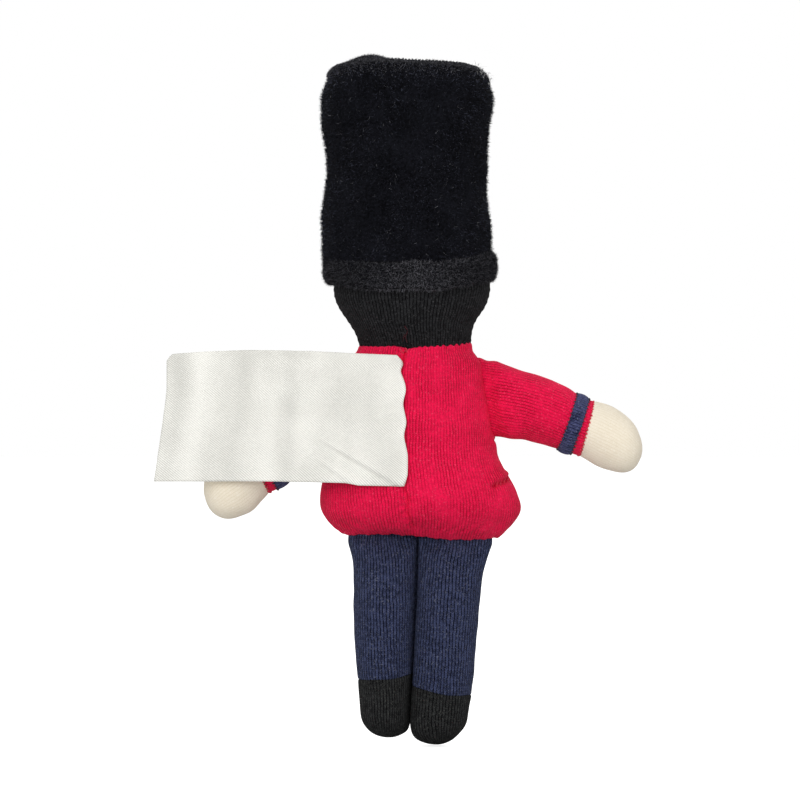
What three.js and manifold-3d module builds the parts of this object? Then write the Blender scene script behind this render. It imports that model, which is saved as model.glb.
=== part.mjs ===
// A small knitted guardsman doll in a tall plush hat, stuffed and sewn.
// Sizes are in millimetres and angles in degrees. Z is up, the doll faces -Y and its left is +X.
// Every cover is a thin shell of cloth, and the stuffing inside it is a solid of its own.
import * as THREE from 'three';
import { mergeVertices } from 'three/addons/utils/BufferGeometryUtils.js';
import Module from 'manifold-3d';

const wasm = await Module();
wasm.setup();

// Cloth and sewing
const KNIT = 1.0; // knitted cover, with the seam allowance inside it
const PLUSH = 1.6; // plush cloth of the hat, with its pile pressed down
const SEAM_GAP = 0.3; // clearance between two pieces that meet
const TRIM_RISE = 0.7; // how far an embroidered knot stands off its cover

// Legs: tubes that are sewn flat under the hem, so that each folds about its seam
const LEG_LENGTH = 46; // floor to hem
const LEG_TOP_WIDTH = 16.6;
const SHIN_WIDTH = 14.2;
const SHIN_RISE = 20; // floor to the place where that width is
const FOOT_WIDTH = 12.8;
const LEG_DEPTH = 13.2;
const FOOT_DEPTH = 12.6;
const LEG_TAPER = 12; // length over which the tube flattens towards its seam
const LEG_SEAM_THICKNESS = 6; // front to back, where the tube is sewn flat
const LEG_SPACING = 0.8; // gap between the two legs
const TOE_ROUND = 6.2; // length over which the foot closes
const SOLE_FLAT = 0.5; // how deep the sole is pressed flat
const LEFT_BOOT_HEIGHT = 13.5;
const RIGHT_BOOT_HEIGHT = 11.5;

// Torso: a flared bag, widest just over the hem
const TORSO_LENGTH = 43.3; // hem to neck
const SEAT_RISE = 7; // hem to the widest place
const SEAT_WIDTH = 45.6;
const HEM_WIDTH = 44.6;
const SEAT_DEPTH = 27.6;
const HEM_DEPTH = 18;
const HEM_ROUND = 6;
const ARMPIT_WIDTH = 37;
const ARMPIT_DROP = 1.6; // from the end of the arm's seam to the places measured on each side of it
const CHEST_DEPTH = 24;
const NECK_WIDTH = 26.2;
const NECK_DEPTH = 19.4;

// Arms: tubes that are sewn flat to the sides of the torso along a slanting seam
const SHOULDER_DROP = 3.4; // neck to the top of the seam
const SHOULDER_WIDTH = 31.6; // between the tops of the two seams
const ARM_SEAM_LENGTH = 18;
const ARM_SEAM_TILT = 10; // the seam slants outwards as it goes down
const ARM_SEAM_THICKNESS = 5;
const ARM_LENGTH = 36.5; // seam to the tip of the hand
const ARM_DEPTH = 12.6;
const ARM_TAPER = 10; // length over which the tube flattens towards its seam
const ARM_TURN = 14; // length over which its sections turn from the seam's slant to the arm's
const CUFF_WIDTH = 13.2;
const HAND_WIDTH = 12.8;
const HAND_DEPTH = 11.4;
const HAND_LENGTH = 13.6;
const HAND_ROUND = 6.4; // length over which the mitten closes
const ARM_ARCH = 12; // how much the arm bends downwards on its way
const LEFT_ARM_DROOP = 40; // the left arm hangs lower under the label
const RIGHT_ARM_DROOP = 20;

// Cuff bands: a raised knitted band round each sleeve, a little short of its end
const CUFF_BAND_WIDTH = 3.6;
const CUFF_BAND_THICKNESS = 0.8;
const SLEEVE_END = 1.6; // sleeve that shows past the band

// Head: drawn in at the neck, where it rocks on a rounded plug
const HEAD_HEIGHT = 12.4; // neck to the lower edge of the brim
const HEAD_WIDTH = 35;
const HEAD_DEPTH = 26;
const HEAD_IN_HAT = 15; // how far the head reaches up into the hat
const CROWN_ROUND = 9;
const NOD = 15; // how far the head can nod each way before it meets the tunic

// Hat: a plush tube with a rolled hem and an oval top
const BRIM_HEIGHT = 6.3;
const BRIM_THICKNESS = 2.5;
const BRIM_ROLL = 2.4; // how much narrower the roll is at its edges than at its middle
const HAT_HEIGHT = 46.6; // brim to top
const HAT_WIDTH = 38.4;
const HAT_WAIST_WIDTH = 36.6;
const HAT_WAIST_RISE = 18; // brim to the narrowest place
const HAT_FULL_RISE = 33; // brim to the place where it is full again
const HAT_DEPTH = 30;
const HAT_WAIST_DEPTH = 28.8;
const HAT_ROUND = 5.4;
const HAT_TOP_HEIGHT = 3.8; // height of the panel that closes the hat

// Face and buttons
const EYE_SIZE = 2.2;
const EYE_SPACING = 9.6;
const EYE_HEIGHT = 9; // over the neck
const MOUTH_WIDTH = 5;
const MOUTH_SAG = 1.2;
const MOUTH_HEIGHT = 5;
const MOUTH_THREAD = 1.2;
const BUTTON_COUNT = 4;
const BUTTON_SIZE = 3;
const BUTTON_PITCH = 8;
const BUTTON_DROP = 8; // neck to the first button

// Care label: woven tape, sewn by one end into the seam at the back
const LABEL_LENGTH = 55.5;
const LABEL_WIDTH = 29.4;
const LABEL_THICKNESS = 0.5;
const LABEL_DROP = 2.2; // neck to the upper edge
const LABEL_SEAM_X = 2.2; // the seam wanders a little to the left
const LABEL_LAY = 6.5; // how far the label turns in towards the arm
const LABEL_STANDOFF = 0.4; // from the tunic to the label's root
const LABEL_WAVE = 0.7; // height of its two shallow waves

// Numbers of facets
const BODY_SIDES = 24;
const LIMB_SIDES = 16;
const STUFFING_SIDES = 14;
const END_STEPS = 3;

// Colours of the cloth
const RED = '#d71d45';
const NAVY = '#2c3046';
const CUFF_NAVY = '#383f5e';
const BLACK_KNIT = '#1f1e21';
const BOOT_BLACK = '#222225';
const PLUSH_BLACK = '#141418';
const CREAM = '#eee3cf';
const WHITE = '#eceae2';
const FIBRE = '#f2efe8';
const BUTTON_GOLD = '#c99a3b';
const THREAD_BLACK = '#26201e';
const THREAD_RED = '#b8454a';

// Levels and places that follow from the sizes
const HEM_Z = LEG_LENGTH;
const NECK_Z = HEM_Z + TORSO_LENGTH;
const BRIM_Z = NECK_Z + HEAD_HEIGHT;
const HAT_Z = BRIM_Z + BRIM_HEIGHT;
const HAT_TOP_Z = HAT_Z + HAT_HEIGHT;
const HIP_Z = HEM_Z - SEAM_GAP - LEG_SEAM_THICKNESS / 2;
const SHOULDER_TOP_Z = NECK_Z - SHOULDER_DROP;
const ARMPIT_Z = SHOULDER_TOP_Z - ARM_SEAM_LENGTH * Math.cos(radians(ARM_SEAM_TILT));

function radians(degrees) {
  return THREE.MathUtils.degToRad(degrees);
}

// Solids

// A solid from points and faces, turned so that its faces point out.
function solid(points, faces) {
  let volume = 0;
  for (let f = 0; f < faces.length; f += 3) {
    const [a, b, c] = faces.slice(f, f + 3).map((index) => points[index]);
    volume += a.dot(b.clone().cross(c));
  }
  if (volume < 0) faces.reverse();
  return new wasm.Manifold(new wasm.Mesh({
    numProp: 3,
    vertProperties: new Float32Array(points.flatMap((point) => point.toArray())),
    triVerts: new Uint32Array(faces),
  }));
}

// The solid of a three.js geometry.
function solidOf(geometry) {
  geometry.deleteAttribute('normal');
  geometry.deleteAttribute('uv');
  const merged = mergeVertices(geometry, 1e-4);
  const { array } = merged.attributes.position;
  const points = [];
  for (let i = 0; i < array.length; i += 3) points.push(new THREE.Vector3().fromArray(array, i));
  const faces = [...merged.index.array];
  return solid(points, faces.filter((_, i) => distinct(faces, i - (i % 3))));
}

function distinct(faces, start) {
  return new Set(faces.slice(start, start + 3)).size === 3;
}

// A closed solid through equal rings of points, with a fan over the first and the last.
function loft(rings) {
  const sides = rings[0].length;
  const points = rings.flat();
  const faces = [];
  for (let r = 0; r + 1 < rings.length; r += 1) {
    for (let i = 0; i < sides; i += 1) {
      const here = r * sides + i;
      const next = r * sides + ((i + 1) % sides);
      faces.push(here, next, next + sides, here, next + sides, here + sides);
    }
  }
  for (const r of [0, rings.length - 1]) {
    const hub = points.length;
    const sum = rings[r].reduce((total, point) => total.add(point), new THREE.Vector3());
    points.push(sum.divideScalar(sides));
    for (let i = 0; i < sides; i += 1) {
      const here = r * sides + i;
      const next = r * sides + ((i + 1) % sides);
      faces.push(...(r === 0 ? [hub, next, here] : [hub, here, next]));
    }
  }
  return solid(points, faces);
}

// Half the width and depth of a soft piece along its length, smoothed through rows of
// [place, width, depth].
function swell(rows) {
  const knots = rows.map(([place, width, depth]) => new THREE.Vector3(place, width / 2, depth / 2));
  const line = new THREE.CatmullRomCurve3(knots).getPoints(12 * knots.length);
  return (place) => {
    const found = line.findIndex((point) => point.x >= place);
    const next = found === -1 ? line.length - 1 : Math.max(found, 1);
    const before = line[next - 1];
    const share = (place - before.x) / (line[next].x - before.x);
    const here = before.clone().lerp(line[next], THREE.MathUtils.clamp(share, 0, 1));
    return { width: here.y, depth: here.z };
  };
}

// One ring of a soft piece: an oval with slightly squared corners.
function oval(frame, halfWidth, halfDepth, sides) {
  const corner = (value) => Math.sign(value) * Math.abs(value) ** 0.9;
  return Array.from({ length: sides }, (_, i) => {
    const turn = (2 * Math.PI * (i + 0.5)) / sides;
    return frame.centre.clone()
      .addScaledVector(frame.across, halfWidth * corner(Math.cos(turn)))
      .addScaledVector(frame.through, halfDepth * corner(Math.sin(turn)));
  });
}

// A stuffed tube. `round` holds the length over which each end closes, 0 for a flat end, and
// `closing` how width and depth follow that rounding. A larger inset gives the inside of the
// cover and then the stuffing, and one below 0 a piece with clearance round it.
function bag({ rows, round, closing, frame, sides, steps }, inset = 0) {
  const half = swell(rows);
  const low = rows[0][0] + inset;
  const high = rows.at(-1)[0] - inset;
  const [lowRound, highRound] = round.map((length) => (length > 0 ? length - inset : 0));
  const places = [];
  for (let i = 0; i < (lowRound > 0 ? END_STEPS : 0); i += 1) {
    const turn = (Math.PI / 2) * ((i + 0.5) / END_STEPS);
    places.push([low + lowRound * (1 - Math.cos(turn)), Math.sin(turn), closing[0]]);
  }
  for (let i = 0; i <= steps; i += 1) {
    places.push([low + lowRound + ((high - highRound - low - lowRound) * i) / steps, 1, closing[0]]);
  }
  for (let i = 0; i < (highRound > 0 ? END_STEPS : 0); i += 1) {
    const turn = (Math.PI / 2) * (1 - (i + 0.5) / END_STEPS);
    places.push([high - highRound * (1 - Math.cos(turn)), Math.sin(turn), closing[1]]);
  }
  return loft(places.map(([place, shut, [widthShut, depthShut]]) => {
    const { width, depth } = half(place);
    const halfWidth = Math.max(width - inset, SEAM_GAP) * shut ** widthShut;
    const halfDepth = Math.max(depth - inset, SEAM_GAP) * shut ** depthShut;
    return oval(frame(place), halfWidth, halfDepth, sides);
  }));
}

// The stuffing inside a cover of some thickness, with plainer sections.
function stuffing(shape, thickness = KNIT) {
  return bag({ ...shape, sides: STUFFING_SIDES }, thickness + SEAM_GAP);
}

// The half of space that lies beyond a point in one direction, as a box larger than the doll.
function beyond(point, direction) {
  const size = 3 * HAT_TOP_Z;
  const box = new THREE.BoxGeometry(size, size, size).translate(0, 0, size / 2);
  box.applyQuaternion(new THREE.Quaternion().setFromUnitVectors(new THREE.Vector3(0, 0, 1), direction));
  return solidOf(box.translate(point.x, point.y, point.z));
}

function above(z) {
  return beyond(new THREE.Vector3(0, 0, z), new THREE.Vector3(0, 0, 1));
}

function below(z) {
  return beyond(new THREE.Vector3(0, 0, z), new THREE.Vector3(0, 0, -1));
}

// An upright frame: width along X, depth along Y.
function upright(x = 0) {
  return (z) => ({
    centre: new THREE.Vector3(x, 0, z),
    across: new THREE.Vector3(1, 0, 0),
    through: new THREE.Vector3(0, 1, 0),
  });
}

// A named mesh of one solid.
function piece(name, body, color, roughness = 0.95) {
  const { vertProperties, triVerts } = body.getMesh();
  const geometry = new THREE.BufferGeometry();
  geometry.setAttribute('position', new THREE.BufferAttribute(new Float32Array(vertProperties), 3));
  geometry.setIndex(new THREE.BufferAttribute(new Uint32Array(triVerts), 1));
  geometry.computeVertexNormals();
  const mesh = new THREE.Mesh(geometry, new THREE.MeshStandardMaterial({ color, roughness, metalness: 0 }));
  mesh.name = name;
  return mesh;
}

// A group that turns about a pivot, with its pieces moved into its own coordinates.
function hung(pivot, pieces) {
  const group = new THREE.Group();
  group.position.copy(pivot);
  for (const mesh of pieces) {
    mesh.geometry.translate(-pivot.x, -pivot.y, -pivot.z);
    group.add(mesh);
  }
  return group;
}

// Torso

// Distance of the shoulder seam from the middle of the doll, at a height.
function shoulderSeam(z) {
  return SHOULDER_WIDTH / 2 + Math.tan(radians(ARM_SEAM_TILT)) * (SHOULDER_TOP_Z - z);
}

// The body is drawn in beside the seam by the thickness of the flat end of the arm.
function chestWidth(z) {
  return 2 * (shoulderSeam(z) - ARM_SEAM_THICKNESS / 2 - SEAM_GAP);
}

const seamMiddleZ = (SHOULDER_TOP_Z + ARMPIT_Z) / 2;
const torso = {
  rows: [
    [HEM_Z, HEM_WIDTH, HEM_DEPTH],
    [HEM_Z + SEAT_RISE, SEAT_WIDTH, SEAT_DEPTH],
    [ARMPIT_Z - ARMPIT_DROP, ARMPIT_WIDTH, (SEAT_DEPTH + CHEST_DEPTH) / 2],
    [ARMPIT_Z + ARMPIT_DROP, chestWidth(ARMPIT_Z + ARMPIT_DROP), CHEST_DEPTH],
    [seamMiddleZ, chestWidth(seamMiddleZ), CHEST_DEPTH],
    [SHOULDER_TOP_Z, chestWidth(SHOULDER_TOP_Z), (CHEST_DEPTH + NECK_DEPTH) / 2],
    [NECK_Z, NECK_WIDTH, NECK_DEPTH],
  ],
  round: [HEM_ROUND, 0],
  closing: [[0.35, 1], [1, 1]],
  frame: upright(),
  sides: BODY_SIDES,
  steps: 8,
};
const torsoHalf = swell(torso.rows);

// The lower end of the head: a plug with round sections about the line across the neck that it
// rocks on. It sits in a hollow of the same form in the torso.
function neckPlug(inset = 0) {
  const radius = NECK_DEPTH / 2 - KNIT - SEAM_GAP - inset;
  const reach = NECK_WIDTH / 2 - KNIT - SEAM_GAP - inset;
  const profile = Array.from({ length: 9 }, (_, i) => {
    const turn = Math.PI * (i / 8 - 0.5);
    const across = Math.abs(Math.cos(turn)) < 1e-9 ? 0 : radius * Math.cos(turn) ** 0.6;
    return new THREE.Vector2(across, reach * Math.sign(turn) * Math.abs(Math.sin(turn)) ** 0.9);
  });
  const turned = new THREE.LatheGeometry(profile, BODY_SIDES).rotateZ(Math.PI / 2);
  return solidOf(turned.translate(0, 0, NECK_Z));
}

const torsoOuter = bag(torso);
const neckHollow = neckPlug(-SEAM_GAP);
const tunic = torsoOuter.subtract(bag(torso, KNIT)).subtract(neckHollow);
const torsoStuffing = stuffing(torso).subtract(neckHollow);

// Head, whose front half is the face and whose back half is black. Its underside slopes up from
// the plug in front and behind, which leaves it room to nod.

const neckRise = (NECK_DEPTH / 2) * Math.tan(radians(NOD)) + SEAM_GAP;
const head = {
  rows: [
    [NECK_Z + SEAM_GAP, NECK_WIDTH - 2 * KNIT, 0.1 * NECK_DEPTH],
    [NECK_Z + neckRise / 2, NECK_WIDTH, 0.45 * NECK_DEPTH],
    [NECK_Z + neckRise, NECK_WIDTH + KNIT, 0.95 * NECK_DEPTH],
    [NECK_Z + HEAD_HEIGHT / 2, HEAD_WIDTH - 3.5, HEAD_DEPTH - 2],
    [BRIM_Z, HEAD_WIDTH, HEAD_DEPTH],
    [HAT_Z, HEAD_WIDTH - 0.6, HEAD_DEPTH],
    [BRIM_Z + HEAD_IN_HAT, HEAD_WIDTH - 4, HEAD_DEPTH - 2],
  ],
  round: [0, CROWN_ROUND],
  closing: [[1, 1], [0.8, 0.8]],
  frame: upright(),
  sides: BODY_SIDES,
  steps: 7,
};
const headHalf = swell(head.rows);
const headOuter = bag(head).add(neckPlug());
const headInner = bag(head, KNIT).add(neckPlug(KNIT));
const headShell = headOuter.subtract(headInner);
const headStuffing = stuffing(head).add(neckPlug(KNIT + SEAM_GAP));
const headRoom = bag(head, -SEAM_GAP);
const front = new THREE.Vector3(0, -1, 0);
const back = new THREE.Vector3(0, 1, 0);
const face = headShell.intersect(beyond(front.clone().multiplyScalar(SEAM_GAP / 2), front));
const headBack = headShell.intersect(beyond(back.clone().multiplyScalar(SEAM_GAP / 2), back));

// Hat

const hat = {
  rows: [
    [BRIM_Z, HAT_WIDTH, HAT_DEPTH],
    [HAT_Z, HAT_WIDTH, HAT_DEPTH],
    [HAT_Z + HAT_WAIST_RISE, HAT_WAIST_WIDTH, HAT_WAIST_DEPTH],
    [HAT_Z + HAT_FULL_RISE, HAT_WIDTH, HAT_DEPTH],
    [HAT_TOP_Z, HAT_WIDTH - 1, HAT_DEPTH - 1],
  ],
  round: [0, HAT_ROUND],
  closing: [[1, 1], [0.6, 0.6]],
  frame: upright(),
  sides: BODY_SIDES,
  steps: 5,
};
const hatShell = bag(hat).subtract(bag(hat, PLUSH)).subtract(headRoom);
const hatTopSeamZ = HAT_TOP_Z - HAT_TOP_HEIGHT;
const hatCrown = hatShell.intersect(above(HAT_Z)).intersect(below(hatTopSeamZ - SEAM_GAP));
const hatTop = hatShell.intersect(above(hatTopSeamZ));
const hatStuffing = stuffing(hat, PLUSH)
  .subtract(headRoom)
  .intersect(above(BRIM_Z + HEAD_IN_HAT - CROWN_ROUND));
const brimMiddle = [
  (BRIM_Z + HAT_Z) / 2,
  HEAD_WIDTH + 2 * BRIM_THICKNESS,
  HEAD_DEPTH + 2 * BRIM_THICKNESS,
];
const hatBrim = bag({
  rows: [
    [BRIM_Z, brimMiddle[1] - BRIM_ROLL, brimMiddle[2] - BRIM_ROLL],
    brimMiddle,
    [HAT_Z - SEAM_GAP, brimMiddle[1] - BRIM_ROLL, brimMiddle[2] - BRIM_ROLL],
  ],
  round: [BRIM_HEIGHT / 4, BRIM_HEIGHT / 4],
  closing: [[0.05, 0.05], [0.05, 0.05]],
  frame: upright(),
  sides: BODY_SIDES,
  steps: 4,
}).subtract(headRoom);

// Embroidery

// How far the front of a cover stands before the middle of the doll.
function frontOf(half, x, z) {
  const { width, depth } = half(z);
  return depth * Math.sqrt(1 - (x / width) ** 2);
}

// A domed knot sewn on the front of a cover.
function knot(half, room, x, z, size) {
  const dome = new THREE.SphereGeometry(size / 2, 10, 6);
  dome.scale(1, (2 * (TRIM_RISE + SEAM_GAP)) / size, 1);
  return solidOf(dome.translate(x, -frontOf(half, x, z), z)).subtract(room);
}

function mouth() {
  const z = NECK_Z + MOUTH_HEIGHT;
  const at = (x, drop) => new THREE.Vector3(x, -frontOf(headHalf, x, z) - SEAM_GAP / 2, z - drop);
  const smile = new THREE.CatmullRomCurve3([
    at(-MOUTH_WIDTH / 2, 0),
    at(0, MOUTH_SAG),
    at(MOUTH_WIDTH / 2, 0),
  ]);
  const section = new THREE.Shape().absarc(0, 0, MOUTH_THREAD / 2, 0, 2 * Math.PI);
  const thread = new THREE.ExtrudeGeometry(section, { steps: 6, curveSegments: 6, extrudePath: smile });
  return solidOf(thread).subtract(headRoom);
}

const torsoRoom = bag(torso, -SEAM_GAP);
const buttons = Array.from({ length: BUTTON_COUNT }, (_, i) => {
  const z = NECK_Z - BUTTON_DROP - i * BUTTON_PITCH;
  return piece(`button_${i + 1}`, knot(torsoHalf, torsoRoom, 0, z, BUTTON_SIZE), BUTTON_GOLD, 0.6);
});

// Legs

function leg(side, bootHeight) {
  const x = side * (LEG_SPACING / 2 + LEG_TOP_WIDTH / 2);
  const footX = side * (LEG_SPACING / 2 + FOOT_WIDTH / 2);
  const seamHalf = LEG_SEAM_THICKNESS / 2;
  const shape = {
    rows: [
      [-SOLE_FLAT, FOOT_WIDTH, FOOT_DEPTH],
      [TOE_ROUND, FOOT_WIDTH, FOOT_DEPTH],
      [SHIN_RISE, SHIN_WIDTH, LEG_DEPTH],
      [HIP_Z - LEG_TAPER, (SHIN_WIDTH + LEG_TOP_WIDTH) / 2, LEG_DEPTH],
      [HIP_Z, LEG_TOP_WIDTH, LEG_SEAM_THICKNESS],
      [HIP_Z + seamHalf, LEG_TOP_WIDTH, LEG_SEAM_THICKNESS],
    ],
    round: [TOE_ROUND, seamHalf],
    closing: [[0.8, 0.6], [0.3, 1]],
    sides: LIMB_SIDES,
    steps: 6,
  };
  const half = swell(shape.rows);
  shape.frame = (z) => upright(side * (LEG_SPACING / 2 + half(z).width))(z);
  const shell = bag(shape).subtract(bag(shape, KNIT)).intersect(above(0));
  const name = side > 0 ? 'left' : 'right';
  const bootLine = bootHeight + SEAM_GAP / 2;
  return {
    pivot: new THREE.Vector3((x + footX) / 2, 0, HIP_Z),
    pieces: [
      piece(`${name}_trouser_leg`, shell.intersect(above(bootLine)), NAVY),
      piece(`${name}_boot`, shell.intersect(below(bootLine - SEAM_GAP)), BOOT_BLACK),
      piece(`${name}_leg_stuffing`, stuffing(shape), FIBRE),
    ],
  };
}

// Arms

function arm(side, droop) {
  const direction = (angle) => new THREE.Vector3(side * Math.cos(angle), 0, -Math.sin(angle));
  const angleAt = (s) => radians(droop + ARM_ARCH * (s / ARM_LENGTH - 0.5));
  const pivot = new THREE.Vector3(side * shoulderSeam(seamMiddleZ), 0, seamMiddleZ);
  const seamTilt = radians(-ARM_SEAM_TILT);
  const frame = (s) => {
    const centre = pivot.clone();
    const walk = 24;
    for (let i = 0; i < walk && s > 0; i += 1) {
      centre.addScaledVector(direction(angleAt((s * (i + 0.5)) / walk)), s / walk);
    }
    if (s <= 0) centre.addScaledVector(direction(seamTilt), s);
    const turned = THREE.MathUtils.smoothstep(s, 0, ARM_TURN);
    const tilt = THREE.MathUtils.lerp(seamTilt, angleAt(s), turned);
    return {
      centre,
      across: new THREE.Vector3(side * Math.sin(tilt), 0, Math.cos(tilt)),
      through: new THREE.Vector3(0, 1, 0),
    };
  };
  const seamHalf = ARM_SEAM_THICKNESS / 2;
  const sleeveEnd = ARM_LENGTH - HAND_LENGTH;
  const bandEnd = sleeveEnd - SLEEVE_END;
  const bandStart = bandEnd - CUFF_BAND_WIDTH;
  const shape = {
    rows: [
      [-seamHalf, ARM_SEAM_LENGTH, ARM_SEAM_THICKNESS],
      [0, ARM_SEAM_LENGTH, ARM_SEAM_THICKNESS],
      [ARM_TAPER, (ARM_SEAM_LENGTH + CUFF_WIDTH) / 2, ARM_DEPTH - 1],
      [bandStart, CUFF_WIDTH, ARM_DEPTH],
      [sleeveEnd, HAND_WIDTH, (ARM_DEPTH + HAND_DEPTH) / 2],
      [ARM_LENGTH - HAND_ROUND, HAND_WIDTH, HAND_DEPTH],
      [ARM_LENGTH, HAND_WIDTH, HAND_DEPTH],
    ],
    round: [seamHalf, HAND_ROUND],
    closing: [[0.25, 1], [1, 1]],
    frame,
    sides: LIMB_SIDES,
    steps: 8,
  };
  const half = swell(shape.rows);
  const band = loft(Array.from({ length: 6 }, (_, i) => {
    const s = THREE.MathUtils.lerp(bandStart, bandEnd, i / 5);
    const rise = SEAM_GAP + CUFF_BAND_THICKNESS * (0.35 + 0.65 * Math.sin((Math.PI * i) / 5) ** 0.5);
    const { width, depth } = half(s);
    return oval(frame(s), width + rise, depth + rise, LIMB_SIDES);
  })).subtract(bag(shape, -SEAM_GAP));
  const shell = bag(shape).subtract(bag(shape, KNIT));
  const endAngle = angleAt(sleeveEnd);
  const wrist = frame(sleeveEnd).centre;
  const outwards = direction(endAngle);
  const inner = wrist.clone().addScaledVector(outwards, -SEAM_GAP / 2);
  const outer = wrist.clone().addScaledVector(outwards, SEAM_GAP / 2);
  const name = side > 0 ? 'left' : 'right';
  return {
    pivot,
    pieces: [
      piece(`${name}_sleeve`, shell.intersect(beyond(inner, outwards.clone().negate())), RED),
      piece(`${name}_cuff_band`, band, CUFF_NAVY),
      piece(`${name}_hand`, shell.intersect(beyond(outer, outwards)), CREAM),
      piece(`${name}_arm_stuffing`, stuffing(shape), FIBRE),
    ],
  };
}

// Care label, which turns about the seam that holds its end

const labelTopZ = NECK_Z - LABEL_DROP;
const labelMiddleZ = labelTopZ - LABEL_WIDTH / 2;
const labelTopY = torsoHalf(labelTopZ).depth;
const labelFootY = torsoHalf(labelTopZ - LABEL_WIDTH).depth;
const labelSlope = Math.atan2(labelFootY - labelTopY, LABEL_WIDTH);

function careLabel() {
  const sheet = new THREE.BoxGeometry(LABEL_LENGTH, LABEL_THICKNESS, LABEL_WIDTH, 16, 1, 3);
  sheet.translate(LABEL_LENGTH / 2, 0, 0);
  const { position } = sheet.attributes;
  for (let i = 0; i < position.count; i += 1) {
    const along = position.getX(i) / LABEL_LENGTH;
    position.setY(i, position.getY(i) + LABEL_WAVE * Math.sin(4 * Math.PI * along) * along);
  }
  return piece('care_label', solidOf(sheet), WHITE, 0.6);
}

const labelGroup = new THREE.Group();
labelGroup.position.set(
  LABEL_SEAM_X,
  (labelTopY + labelFootY) / 2 + LABEL_STANDOFF + LABEL_THICKNESS / 2,
  labelMiddleZ,
);
labelGroup.rotation.set(labelSlope, 0, 0);
const labelLay = new THREE.Group();
labelLay.rotation.z = -radians(LABEL_LAY);
labelLay.add(careLabel());
labelGroup.add(labelLay);

// The doll

const doll = new THREE.Group();
doll.add(piece('tunic', tunic, RED), piece('torso_stuffing', torsoStuffing, FIBRE), ...buttons);
const eyeZ = NECK_Z + EYE_HEIGHT;
doll.add(hung(new THREE.Vector3(0, 0, NECK_Z), [
  piece('face', face, CREAM),
  piece('head_back', headBack, BLACK_KNIT),
  piece('head_stuffing', headStuffing, FIBRE),
  piece('hat_crown', hatCrown, PLUSH_BLACK),
  piece('hat_top', hatTop, PLUSH_BLACK),
  piece('hat_brim', hatBrim, PLUSH_BLACK),
  piece('hat_stuffing', hatStuffing, FIBRE),
  piece('left_eye', knot(headHalf, headRoom, EYE_SPACING / 2, eyeZ, EYE_SIZE), THREAD_BLACK),
  piece('right_eye', knot(headHalf, headRoom, -EYE_SPACING / 2, eyeZ, EYE_SIZE), THREAD_BLACK),
  piece('mouth', mouth(), THREAD_RED),
]));
const limbs = [
  arm(1, LEFT_ARM_DROOP),
  arm(-1, RIGHT_ARM_DROOP),
  leg(1, LEFT_BOOT_HEIGHT),
  leg(-1, RIGHT_BOOT_HEIGHT),
];
for (const { pivot, pieces } of limbs) doll.add(hung(pivot, pieces));
doll.add(labelGroup);

// The origin lies under the middle of the doll's box, on the floor.
const box = new THREE.Box3().setFromObject(doll);
const middle = box.getCenter(new THREE.Vector3());
doll.position.set(-middle.x, -middle.y, -box.min.z);
const model = new THREE.Group();
model.add(doll);

export default model;
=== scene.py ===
# %% [markdown]
# # A small knitted guardsman
# The doll is about 155 mm tall. Its covers are machine-knitted jersey, its tall hat is plush, and a
# woven care label is sewn into the seam at the back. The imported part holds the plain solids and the
# joints. This script dresses each solid with a soft piece of its own, in metres and in one frame.

# %% Load the frame
import math
import bpy
import numpy as np
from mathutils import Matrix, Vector, noise


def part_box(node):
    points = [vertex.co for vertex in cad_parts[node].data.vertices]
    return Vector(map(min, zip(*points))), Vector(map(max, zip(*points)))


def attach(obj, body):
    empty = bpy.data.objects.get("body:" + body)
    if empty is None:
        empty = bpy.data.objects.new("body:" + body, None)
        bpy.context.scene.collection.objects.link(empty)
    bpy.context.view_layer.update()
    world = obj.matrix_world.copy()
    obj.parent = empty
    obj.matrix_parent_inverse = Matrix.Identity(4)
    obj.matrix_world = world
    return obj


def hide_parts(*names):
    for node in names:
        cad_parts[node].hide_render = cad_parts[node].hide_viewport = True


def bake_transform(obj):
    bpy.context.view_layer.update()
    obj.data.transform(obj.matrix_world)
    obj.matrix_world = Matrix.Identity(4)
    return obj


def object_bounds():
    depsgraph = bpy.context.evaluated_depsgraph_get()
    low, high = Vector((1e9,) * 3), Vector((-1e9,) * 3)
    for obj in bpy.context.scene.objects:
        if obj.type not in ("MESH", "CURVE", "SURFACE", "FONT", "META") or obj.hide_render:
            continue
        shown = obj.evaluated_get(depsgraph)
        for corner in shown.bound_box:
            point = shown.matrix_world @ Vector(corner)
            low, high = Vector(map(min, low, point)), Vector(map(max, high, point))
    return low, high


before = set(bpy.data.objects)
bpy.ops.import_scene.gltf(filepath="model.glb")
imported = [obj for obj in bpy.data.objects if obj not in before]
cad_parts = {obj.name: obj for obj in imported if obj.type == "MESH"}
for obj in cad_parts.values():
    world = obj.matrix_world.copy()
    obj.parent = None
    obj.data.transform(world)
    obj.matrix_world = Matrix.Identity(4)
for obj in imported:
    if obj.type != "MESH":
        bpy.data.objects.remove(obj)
for spare in [o for o in bpy.data.objects if o.type == "LIGHT"]:
    bpy.data.objects.remove(spare)
CAD_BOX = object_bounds()

# %% [markdown]
# ## Where things are
# The solids lie a little to one side of the origin, because the label reaches further than the hand
# does. Every place below is written from the doll's own middle and from the floor, in millimetres,
# and `at` turns it into the frame. The photograph shows the doll from behind, so +X, its left, is
# on the left of the picture.

# %% Places in millimetres
MM = 0.001
low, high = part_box("tunic")
MIDDLE_X = (low[0] + high[0]) / 2
MIDDLE_Y = (low[1] + high[1]) / 2
MIDDLE = np.array((MIDDLE_X / MM, MIDDLE_Y / MM, 0))


def at(x, y, z):
    return Vector((MIDDLE_X + x * MM, MIDDLE_Y + y * MM, z * MM))


print(f"middle of the doll at x = {MIDDLE_X / MM:.2f} mm, y = {MIDDLE_Y / MM:.2f} mm")

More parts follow.
